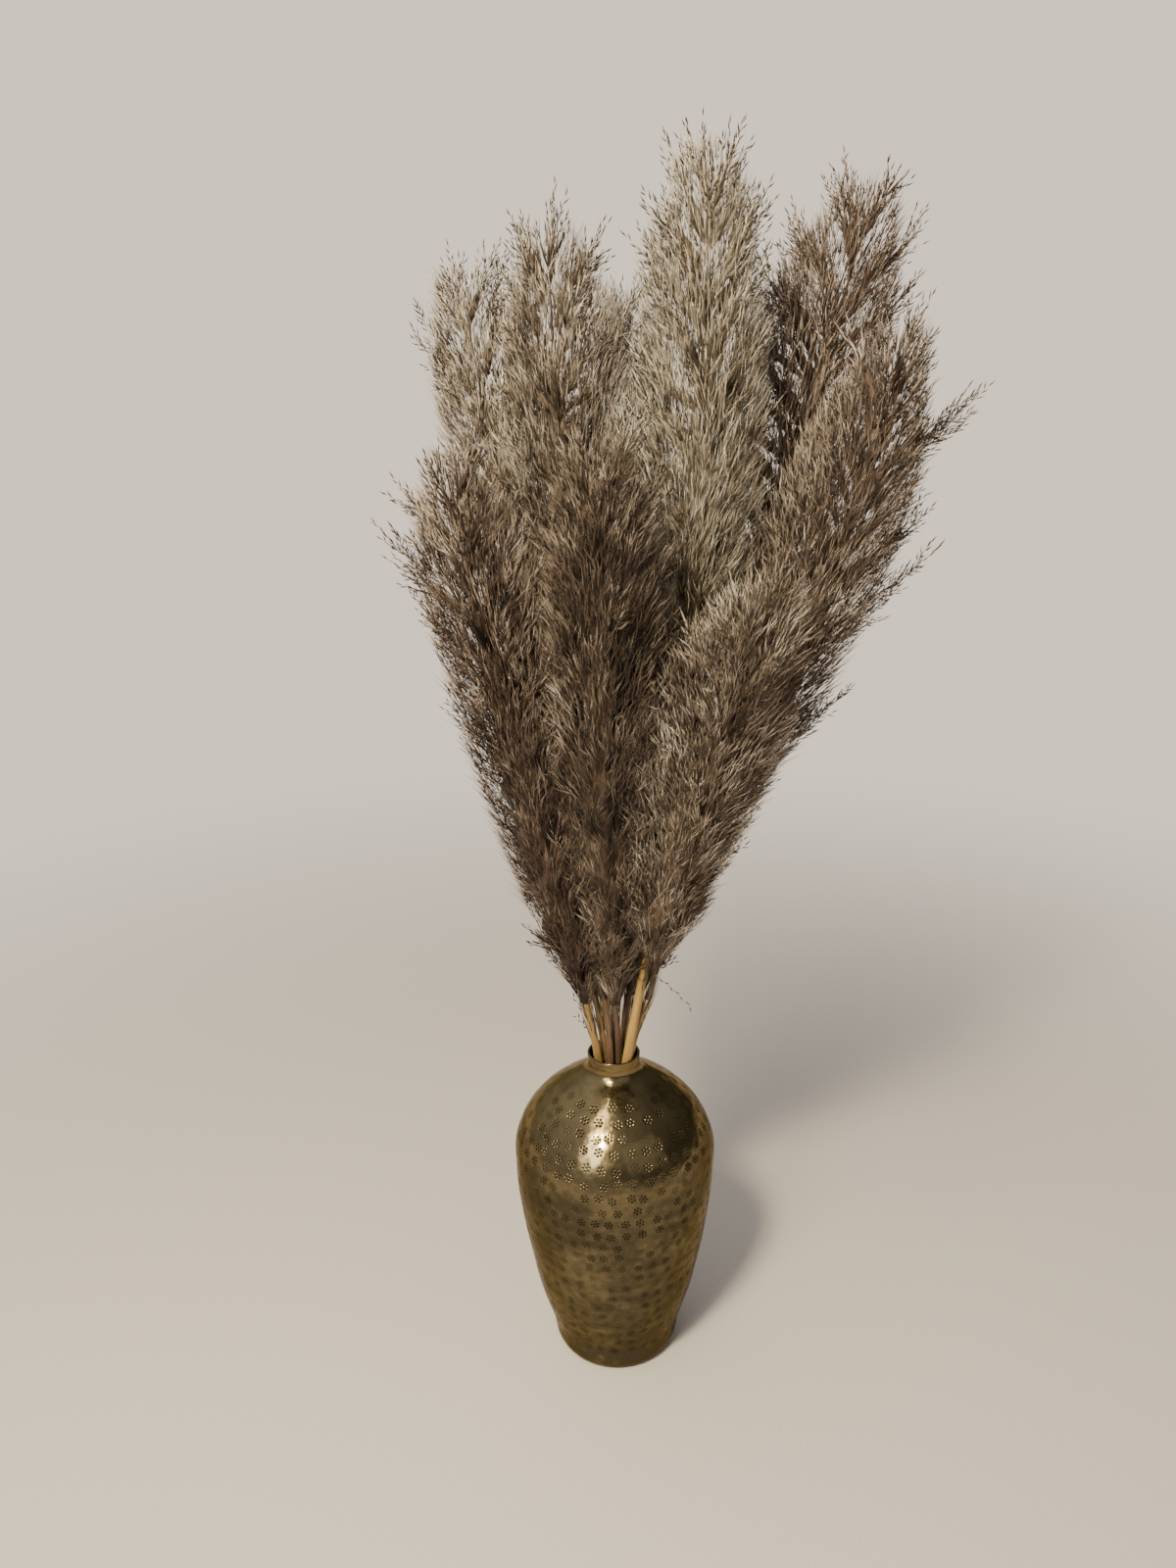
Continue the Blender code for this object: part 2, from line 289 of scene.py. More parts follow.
def strand_pattern(rings: int, sides: int, root: Root) -> Ints:
    """Lists the triangles of one strand.

    Args:
        rings: the number of rings of points.
        sides: points in a ring.
        root: how the strand begins.

    Returns:
        The triangles, facing outwards, over the rings' points, the tip and the pointed root.
    """
    k = np.arange(sides)
    after = (k + 1) % sides
    tip = rings * sides
    found = []
    for ring in range(rings - 1):
        low, high = ring * sides, (ring + 1) * sides
        found.append(np.stack([low + k, low + after, high + after], axis=1))
        found.append(np.stack([low + k, high + after, high + k], axis=1))
    last = (rings - 1) * sides
    found.append(np.stack([last + k, last + after, np.full(sides, tip)], axis=1))
    if root is Root.POINTED:
        found.append(np.stack([after, k, np.full(sides, tip + 1)], axis=1))
    else:
        inner = np.arange(1, sides - 1)
        found.append(np.stack([np.zeros_like(inner), inner + 1, inner], axis=1))
    return np.concatenate(found)


def tube_grid(rings: int, sides: int) -> Ints:
    """Lists the quads between rings of points that go round, facing outwards as rings go up.

    Args:
        rings: the number of rings of points.
        sides: points in a ring.

    Returns:
        Four points for each quad.
    """
    k = np.arange(sides)
    after = (k + 1) % sides
    low = (np.arange(rings - 1) * sides)[:, None]
    quads = np.stack([low + k, low + after, low + sides + after, low + sides + k], axis=-1)
    return quads.reshape(-1, 4)
def end_fans(rings: int, sides: int, low: int, high: int) -> tuple[Ints, Ints]:
    """Lists the triangles that close a tube's ends.

    Args:
        rings: the number of rings of points.
        sides: points in a ring.
        low: the point that closes the first ring.
        high: the point that closes the last ring.

    Returns:
        The triangles of the first end, and those of the last.
    """
    k = np.arange(sides)
    after = (k + 1) % sides
    last = (rings - 1) * sides
    bottom = np.stack([after, k, np.full(sides, low)], axis=1)
    return bottom, np.stack([last + k, last + after, np.full(sides, high)], axis=1)


def closed_tube(rings: int, sides: int) -> list[list[int]]:
    """Lists the faces of a tube, closed by two points that follow those of its rings."""
    low, high = end_fans(rings, sides, rings * sides, rings * sides + 1)
    return [*tube_grid(rings, sides).tolist(), *low.tolist(), *high.tolist()]


def write_attribute(mesh: bpy.types.Mesh, name: str, domain: str, values: Floats) -> None:
    """Adds an attribute to a mesh, of vectors where the values have rows and of numbers else.

    Args:
        mesh: the mesh.
        name: the attribute's name.
        domain: what has a value, POINT or FACE.
        values: the values, in the mesh's order.
    """
    kind, key = ("FLOAT_VECTOR", "vector") if values.ndim == 2 else ("FLOAT", "value")
    made = mesh.attributes.new(name, kind, domain)
    made.data.foreach_set(key, values.astype(np.float32).ravel())


def write_chart(mesh: bpy.types.Mesh, name: str, corners: Floats) -> None:
    """Adds a UV map to a mesh, with one place for each corner of its faces."""
    made = mesh.uv_layers.new(name=name)
    made.data.foreach_set("uv", corners.astype(np.float32).ravel())


def placed(name: str, data: bpy.types.ID) -> bpy.types.Object:
    """Puts a mesh, a light or a camera into the scene.

    Args:
        name: the object's name.
        data: what it shows.

    Returns:
        The object.
    """
    made = bpy.data.objects.new(name, data)
    bpy.context.scene.collection.objects.link(made)
    return made


def finished(
    name: str, mesh: bpy.types.Mesh, material: bpy.types.Material, node: str
) -> bpy.types.Object:
    """Makes a mesh one of the part's pieces.

    Args:
        name: the piece's name.
        mesh: its mesh, in place.
        material: its finish.
        node: the frame's node that it stands for.

    Returns:
        The piece.
    """
    mesh.polygons.foreach_set("use_smooth", np.ones(len(mesh.polygons), dtype=bool))
    mesh.materials.append(material)
    mesh.update()
    piece = placed(name, mesh)
    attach(piece, BODY)
    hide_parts(node)
    LOG.info("%s: %d faces", name, len(mesh.polygons))
    return piece


# Materials

class Nodes:
    """A tree of shader nodes, with short ways to add and join them."""

    def __init__(self, tree: bpy.types.NodeTree) -> None:
        """Keeps the tree that the nodes go into."""
        self.tree = tree

    def node(self, kind: str, inputs: dict | None = None, **settings: object) -> bpy.types.Node:
        """Adds a node.

        Args:
            kind: Blender's name of the node type.
            inputs: socket to value, or to the output that it is joined to.
            settings: the node's own properties.

        Returns:
            The node.
        """
        made = self.tree.nodes.new(kind)
        for key, value in settings.items():
            setattr(made, key, value)
        for socket, value in (inputs or {}).items():
            self.put(made.inputs[socket], value)
        return made

    def put(self, socket: Socket, value: object) -> None:
        """Joins an output to a socket, or sets its own value. A colour gets an alpha of 1.

        Args:
            socket: the input.
            value: the output, or the value.
        """
        if isinstance(value, Socket):
            self.tree.links.new(value, socket)
        elif socket.type == "RGBA":
            socket.default_value = (*value, 1.0)
        else:
            socket.default_value = value

    def maths(self, operation: str, *values: object) -> Socket:
        """Adds a Math node on up to three values and returns its output."""
        return self.node("ShaderNodeMath", dict(enumerate(values)), operation=operation).outputs[0]

    def times(self, first: object, second: object) -> Socket:
        """Returns first * second."""
        return self.maths("MULTIPLY", first, second)

    def times_plus(self, first: object, second: object, third: object) -> Socket:
        """Returns first * second + third."""
        return self.maths("MULTIPLY_ADD", first, second, third)

    def parts(self, vector: Socket) -> bpy.types.bpy_prop_collection:
        """Returns the outputs X, Y and Z of a vector."""
        return self.node("ShaderNodeSeparateXYZ", {"Vector": vector}).outputs

    def own_place(self) -> Socket:
        """Returns the object's own coordinates."""
        return self.node("ShaderNodeTexCoord").outputs["Object"]

    def attribute(self, name: str, output: str = "Fac") -> Socket:
        """Returns an attribute of the mesh."""
        return self.node("ShaderNodeAttribute", attribute_name=name).outputs[output]

    def chart(self, name: str) -> Socket:
        """Returns a UV map of the mesh."""
        return self.node("ShaderNodeUVMap", uv_map=name).outputs["UV"]

    def bump(self, height: Socket, strength: float, distance: float) -> Socket:
        """Returns the normal as a height bends it."""
        inputs = {"Strength": strength, "Distance": distance, "Height": height}
        return self.node("ShaderNodeBump", inputs).outputs["Normal"]

    def ramp(self, value: Socket, stops: tuple) -> Socket:
        """Adds a colour ramp.

        Args:
            value: what the ramp reads.
            stops: (place, colour) pairs, in order.

        Returns:
            The ramp's colour.
        """
        made = self.node("ShaderNodeValToRGB", {"Fac": value})
        elements = made.color_ramp.elements
        while len(elements) < len(stops):
            elements.new(1.0)
        for element, (place, colour) in zip(elements, stops):
            element.position = place
            element.color = (*colour, 1.0)
        return made.outputs["Color"]

    def mix(self, share: object, first: object, second: object, way: str = "MIX") -> Socket:
        """Mixes two colours and returns the result."""
        inputs = {"Factor": share, 6: first, 7: second}
        return self.node("ShaderNodeMix", inputs, data_type="RGBA", blend_type=way).outputs[2]

    def noise(self, place: Socket, scale: float, detail: float = 3.0, rough: float = 0.55) -> Socket:
        """Adds a noise texture and returns its value."""
        inputs = {"Vector": place, "Scale": scale, "Detail": detail, "Roughness": rough}
        return self.node("ShaderNodeTexNoise", inputs).outputs["Fac"]

    def stretched(self, place: Socket, scale: Point, detail: float = 3.0, rough: float = 0.55) -> Socket:
        """Adds a noise texture with a scale for each axis and returns its value."""
        mapped = self.node("ShaderNodeMapping", {"Vector": place, "Scale": scale})
        return self.noise(mapped.outputs["Vector"], 1.0, detail, rough)

    def between(
        self, value: Socket, low: float, high: float, to_low: float = 0.0, to_high: float = 1.0
    ) -> Socket:
        """Spreads a value's range over another one, with soft ends, and returns it."""
        inputs = {"Value": value, "From Min": low, "From Max": high, "To Min": to_low, "To Max": to_high}
        return self.node("ShaderNodeMapRange", inputs, interpolation_type="SMOOTHSTEP").outputs["Result"]


class Finish(Nodes):
    """A material under construction, on one Principled shader."""

    def __init__(self, name: str) -> None:
        """Starts the material.

        Args:
            name: the material's name.
        """
        self.material = bpy.data.materials.new(name)
        self.material.use_nodes = True
        super().__init__(self.material.node_tree)
        self.shader = self.tree.nodes["Principled BSDF"]

    def surface(self, values: dict[str, object]) -> None:
        """Sets the shader's sockets, or joins them to outputs."""
        for socket, value in values.items():
            self.put(self.shader.inputs[socket], value)


# The stalks' lines, as the frame has them

@dataclass(frozen=True)
class Lock:
    """A lock that shows apart from its plume: where it leaves, its azimuth in degrees, how far
    from the axis its tip is, and how far it rises."""

    root: float
    azimuth: float
    reach: float
    rise: float


@dataclass(frozen=True)
class Spray:
    """A loose branch that stands out of its plume: the height that it leaves at, and its tip."""

    root: float
    tip: Point


@dataclass(frozen=True)
class Sprig:
    """A thin seeded side shoot near the mouth: where it starts, its tip, its number of seed
    heads, and how pale it is."""

    start: Point
    tip: Point
    seeds: int
    tone: float


@dataclass(frozen=True)
class PlumeColours:
    """The colours of one plume: fluff from the shade to the light, seed heads, and twigs."""

    shade: Colour
    low: Colour
    middle: Colour
    light: Colour
    seed_dark: Colour = (0.022, 0.014, 0.009)
    seed_light: Colour = (0.090, 0.058, 0.035)
    twig_dark: Colour = (0.055, 0.035, 0.020)
    twig_light: Colour = (0.24, 0.175, 0.105)


TAUPE = PlumeColours(
    (0.027, 0.017, 0.010), (0.103, 0.070, 0.047), (0.399, 0.327, 0.263), (0.722, 0.666, 0.598)
)
BROWN = PlumeColours(
    (0.023, 0.013, 0.009), (0.091, 0.058, 0.040), (0.351, 0.279, 0.217), (0.665, 0.600, 0.534)
)
SAND = PlumeColours(
    (0.028, 0.019, 0.011), (0.110, 0.077, 0.053), (0.446, 0.377, 0.299), (0.798, 0.753, 0.683)
)
BLOND = PlumeColours(
    (0.030, 0.021, 0.011), (0.118, 0.087, 0.053), (0.408, 0.354, 0.271), (0.722, 0.688, 0.612)
)
GREY = PlumeColours(
    (0.027, 0.020, 0.014), (0.103, 0.082, 0.064), (0.380, 0.349, 0.314), (0.684, 0.666, 0.655)
)
RUSSET = PlumeColours(
    (0.027, 0.014, 0.010), (0.099, 0.062, 0.043), (0.361, 0.279, 0.217), (0.665, 0.579, 0.513)
)

# Half width along a plume, both as shares: (place, width)
PLUME_SHAPE = np.array(
    (
        (0.00, 0.30), (0.12, 0.50), (0.30, 0.70), (0.50, 0.88),
        (0.70, 1.00), (0.84, 0.92), (0.94, 0.52), (1.00, 0.06),
    )
)


@dataclass(frozen=True)
class Stalk:
    """One stalk of grass.

    Its line runs from its foot through the path's points. The cane's radius is that at the mouth,
    and full is the plume's half width. The two tones lighten the plume low down and high up: partly
    the plume's own colour, and partly painted light that lifts plumes lying in the others' shadow.
    Bare is the share of it without fluff, and gathering is how far its branches turn to the middle.
    """

    name: str
    foot: Pair
    path: tuple[Point, ...]
    cane: float
    full: float
    colours: PlumeColours
    long_locks: tuple[Lock, ...] = ()
    sprays: tuple[Spray, ...] = ()
    sprigs: tuple[Sprig, ...] = ()
    bare: float = 0.0
    # Partly the plume's own colour, partly painted light on plumes that lie in shadow.
    tone: Pair = (0.0, 0.0)
    cane_colour: Colour = (0.42, 0.27, 0.09)
    cane_dark: Colour = (0.16, 0.095, 0.045)
    gathering: float = 0.18

    @property
    def bottom(self) -> float:
        """Returns the height at which the plume begins."""
        return self.path[2][2]

    @property
    def top(self) -> float:
        """Returns the height of the plume's tip."""
        return self.path[-1][2]

    @property
    def bulk(self) -> float:
        """Returns the plume's half width times its length, in square metres."""
        return self.full * (self.top - self.bottom)

    def centre(self, heights: Floats) -> Floats:
        """Finds the stalk's middle line.

        Below the neck it is straight from the foot to the neck's point. Above, x and y are
        smooth curves of the height through the path's points, and they go on as the line leans.

        Args:
            heights: the heights wanted.

        Returns:
            The points.
        """
        path = np.array(self.path)
        low = np.array((*self.foot, CANE_FOOT))
        lean = (path[0, :2] - low[:2]) / (path[0, 2] - low[2])
        stations = path[:, [2, 0, 1]]
        above = smooth_values(np.clip(heights, path[0, 2], path[-1, 2]), stations, lean)
        below = low[:2] + lean * (heights - low[2])[:, None]
        flat = np.where((heights < path[0, 2])[:, None], below, above)
        return np.column_stack([flat, heights])

    def half_width(self, heights: Floats) -> Floats:
        """Works out the plume's half width, a smooth curve that is drawn in where it begins.

        Args:
            heights: the heights wanted.

        Returns:
            The half width at each height.
        """
        share = np.clip((heights - self.bottom) / (self.top - self.bottom), 0.0, 1.0)
        begun = np.clip((share - self.bare) / 0.11, 0.0, 1.0)
        return self.full * smooth_values(share, PLUME_SHAPE)[:, 0] * (0.34 + 0.66 * begun)

    def depth(self, points: Floats) -> Floats:
        """Works out how far out of the plume points are, as distance over half width.

        Args:
            points: the points.

        Returns:
            0 on the plume's line, and 1 at its half width.
        """
        heights = np.clip(points[:, 2], self.bottom, self.top)
        out = np.linalg.norm((points - self.centre(heights))[:, :2], axis=1)
        return out / np.maximum(self.half_width(heights), 0.20 * self.full)


STALKS = (
    Stalk(
        name="left_low", foot=(-0.020, 0.000), cane=0.0040, full=0.048, colours=BROWN,
        tone=(-0.02, -0.12), cane_colour=(0.31, 0.195, 0.056), cane_dark=(0.150, 0.080, 0.024),
        path=(
            (-0.0135, -0.0055, NECK_HEIGHT), (-0.0160, -0.0070, MOUTH_HEIGHT),
            (-0.0270, -0.0120, 0.400), (-0.0560, -0.0230, 0.530), (-0.0860, -0.0420, 0.680),
            (-0.1110, -0.0690, 0.812), (-0.1310, -0.1000, 0.940),
        ),
        long_locks=(Lock(0.775, 180, 0.064, 0.085), Lock(0.625, 170, 0.050, 0.080)),
        sprays=(Spray(0.700, (-0.1690, -0.1000, 0.863)),),
        sprigs=(
            Sprig((-0.0225, -0.0085, 0.372), (-0.0375, -0.0100, 0.404), 5, 0.2),
            Sprig((-0.0185, -0.0080, 0.355), (-0.0355, -0.0120, 0.385), 6, 0.1),
            Sprig((-0.0200, -0.0090, 0.362), (-0.0300, -0.0150, 0.398), 4, 0.5),
        ),
    ),
    Stalk(
        name="left_tall", foot=(-0.011, 0.004), cane=0.0034, full=0.054, colours=SAND,
        tone=(-0.02, -0.03), cane_colour=(0.30, 0.19, 0.075), cane_dark=(0.12, 0.070, 0.030),
        path=(
            (-0.0090, 0.0038, NECK_HEIGHT), (-0.0100, 0.0040, MOUTH_HEIGHT),
            (-0.0180, 0.0080, 0.400), (-0.0400, 0.0140, 0.550), (-0.0670, 0.0260, 0.708),
            (-0.1000, 0.0420, 0.920), (-0.1360, 0.0600, 1.092),
        ),
        long_locks=(Lock(0.925, 176, 0.048, 0.090), Lock(0.975, -30, 0.056, 0.095)),
        sprays=(Spray(0.880, (-0.1640, 0.0500, 1.040)),),
    ),
    Stalk(
        name="mid_left", foot=(-0.003, -0.001), cane=0.0035, full=0.056, colours=SAND,
        tone=(-0.02, -0.15), cane_colour=(0.17, 0.095, 0.050), cane_dark=(0.060, 0.030, 0.018),
        path=(
            (-0.0035, -0.0040, NECK_HEIGHT), (-0.0035, -0.0045, MOUTH_HEIGHT),
            (-0.0080, -0.0020, 0.400), (-0.0140, 0.0000, 0.550), (-0.0260, -0.0040, 0.713),
            (-0.0400, -0.0060, 0.900), (-0.0480, 0.0000, 1.118),
        ),
        long_locks=(Lock(1.000, 20, 0.046, 0.085),),
    ),
    Stalk(
        name="mid_back", foot=(0.000, 0.014), cane=0.0033, full=0.046, colours=GREY,
        tone=(-0.03, -0.15), cane_colour=(0.14, 0.072, 0.040), cane_dark=(0.050, 0.024, 0.015),
        path=(
            (-0.0005, 0.0110, NECK_HEIGHT), (0.0000, 0.0125, MOUTH_HEIGHT), (0.0020, 0.0180, 0.400),
            (0.0070, 0.0340, 0.515), (0.0120, 0.0660, 0.699), (0.0160, 0.1070, 0.876),
            (0.0200, 0.1600, 1.078),
        ),
        long_locks=(Lock(0.925, 90, 0.044, 0.085),),
    ),
    Stalk(
        name="mid_front", foot=(0.004, 0.001), cane=0.0033, full=0.050, colours=TAUPE,
        tone=(-0.03, -0.28), cane_colour=(0.105, 0.060, 0.036), cane_dark=(0.040, 0.022, 0.014),
        path=(
            (0.0045, -0.0015, NECK_HEIGHT), (0.0050, -0.0030, MOUTH_HEIGHT),
            (0.0020, -0.0140, 0.400), (-0.0020, -0.0280, 0.530), (-0.0060, -0.0560, 0.660),
            (-0.0080, -0.0950, 0.800), (-0.0080, -0.1500, 0.952),
        ),
        long_locks=(Lock(0.825, -90, 0.046, 0.085),),
    ),
    Stalk(
        name="right_blond", foot=(-0.036, -0.0125), cane=0.0049, full=0.054, colours=BLOND,
        tone=(0.15, -0.04), cane_colour=(0.37, 0.235, 0.060), cane_dark=(0.21, 0.120, 0.032),
        bare=0.04,
        path=(
            (0.0077, -0.0119, NECK_HEIGHT), (0.0136, -0.0118, MOUTH_HEIGHT),
            (0.0320, -0.0130, 0.450), (0.0540, -0.0160, 0.640), (0.0690, -0.0200, 0.800),
            (0.0810, -0.0300, 0.980), (0.0730, -0.0500, 1.167),
        ),
        long_locks=(Lock(1.025, 30, 0.046, 0.085),),
    ),
    Stalk(
        name="right_front", foot=(0.014, 0.000), cane=0.0030, full=0.054, colours=TAUPE,
        tone=(0.14, -0.12), bare=0.10,
        path=(
            (0.0165, -0.0035, NECK_HEIGHT), (0.0180, -0.0040, MOUTH_HEIGHT),
            (0.0335, -0.0050, 0.400), (0.0590, -0.0270, 0.530), (0.0860, -0.0580, 0.638),
            (0.1070, -0.1000, 0.734), (0.1300, -0.1500, 0.843),
        ),
        sprays=(Spray(0.600, (0.2030, -0.0500, 0.717)),),
    ),
    Stalk(
        name="right_tall", foot=(0.007, 0.017), cane=0.0038, full=0.062, colours=RUSSET,
        gathering=0.52, tone=(0.04, -0.24), cane_colour=(0.22, 0.125, 0.060),
        cane_dark=(0.080, 0.042, 0.022),
        path=(
            (0.0080, 0.0140, NECK_HEIGHT), (0.0090, 0.0125, MOUTH_HEIGHT), (0.0170, 0.0180, 0.400),
            (0.0460, 0.0290, 0.520), (0.1080, 0.0400, 0.707), (0.1850, 0.0640, 0.960),
            (0.2400, 0.0950, 1.160),
        ),
        long_locks=(Lock(0.975, 160, 0.070, 0.110), Lock(0.925, 20, 0.060, 0.090)),
    ),
    Stalk(
        name="right_low", foot=(0.0125, 0.0085), cane=0.0034, full=0.050, colours=BROWN,
        tone=(0.15, -0.20),
        path=(
            (0.0125, 0.0055, NECK_HEIGHT), (0.0140, 0.0045, MOUTH_HEIGHT), (0.0250, 0.0070, 0.400),
            (0.0640, 0.0060, 0.522), (0.1480, -0.0140, 0.711), (0.2050, -0.0420, 0.880),
            (0.2340, -0.0720, 1.032),
        ),
        long_locks=(
            Lock(0.875, 3, 0.076, 0.085), Lock(0.775, -10, 0.062, 0.095),
            Lock(0.725, 0, 0.085, 0.112), Lock(0.625, -10, 0.062, 0.090),
        ),
        sprays=(
            Spray(0.850, (0.2860, -0.0500, 0.962)), Spray(0.740, (0.2540, -0.0500, 0.874)),
            Spray(0.690, (0.2630, -0.0600, 0.841)),
        ),
        sprigs=(
            Sprig((0.0235, 0.0040, 0.405), (0.0590, 0.0000, 0.437), 9, 0.1),
            Sprig((0.0310, -0.0060, 0.432), (0.0740, -0.0200, 0.399), 7, 0.9),
        ),
    ),
)


def bundle_middle(heights: Floats) -> Floats:
    """Finds the mean of the stalks' lines, where a stalk counts up to its own tip.

    Args:
        heights: the heights wanted.

    Returns:
        x and y at each height.
    """
    lines = np.stack([stalk.centre(heights)[:, :2] for stalk in STALKS])
    counted = np.stack([heights < stalk.top for stalk in STALKS])[..., None]
    return (lines * counted).sum(axis=0) / np.maximum(counted.sum(axis=0), 1)


# The plumes

class Kind(Enum):
    """The kinds of strand in a plume, with the band of the colour chart that each one has."""

    FLUFF = (0.01, 0.49)
    SEED = (0.51, 0.74)
    TWIG = (0.76, 0.99)

    def across(self, tones: Floats) -> Floats:
        """Returns each tone's place across the chart, within this kind's band."""
        low, high = self.value
        return low + (high - low) * np.clip(tones, 0.0, 1.0)


@dataclass(frozen=True)
class PlumeFinish:
    """The finish of a plume: dry, softly shining fibre, coloured by the plume's own chart."""

    name: str
    colours: PlumeColours

    def build(self) -> bpy.types.Material:
        """Makes the material.

        Across its chart a strand's kind and tone set its colour, and along it the colour goes
        from a darker root to a paler tip.

        Returns:
            The material.
        """
        c = self.colours
        finish = Finish(self.name)
        chart = finish.chart("OFBake")
        parts = finish.parts(chart)
        colour = finish.ramp(
            parts["X"],
            (
                (0.00, c.shade),
                (0.16, c.low),
                (0.33, c.middle),
                (0.495, c.light),
                (0.505, c.seed_dark),
                (0.745, c.seed_light),
                (0.755, c.twig_dark),
                (1.00, c.twig_light),
            ),
        )
        # Each strand is darker towards its root.
        root_darkening = finish.ramp(
            parts["Y"],
            ((0.0, (0.72, 0.68, 0.64)), (0.35, (0.95, 0.93, 0.90)), (1.0, (1.0, 1.0, 1.0))),
        )
        flecked = finish.between(finish.stretched(chart, (90.0, 6.0, 1.0)), 0.3, 0.7, 0.86, 1.0)
        streaks = finish.stretched(finish.own_place(), (460.0, 460.0, 55.0), 2.0)
        flecked = finish.times(flecked, finish.between(streaks, 0.34, 0.66, 0.78, 1.08))
        darkened = finish.mix(1.0, colour, root_darkening, "MULTIPLY")
        grey = finish.node("ShaderNodeCombineXYZ", dict.fromkeys(range(3), flecked)).outputs[0]
        finish.surface(
            {
                "Base Color": finish.mix(1.0, darkened, grey, "MULTIPLY"),
                "Roughness": 0.72,
                "Specular IOR Level": 0.12,
                "Sheen Weight": 0.06,
                "Sheen Roughness": 0.5,
            }
        )
        return finish.material


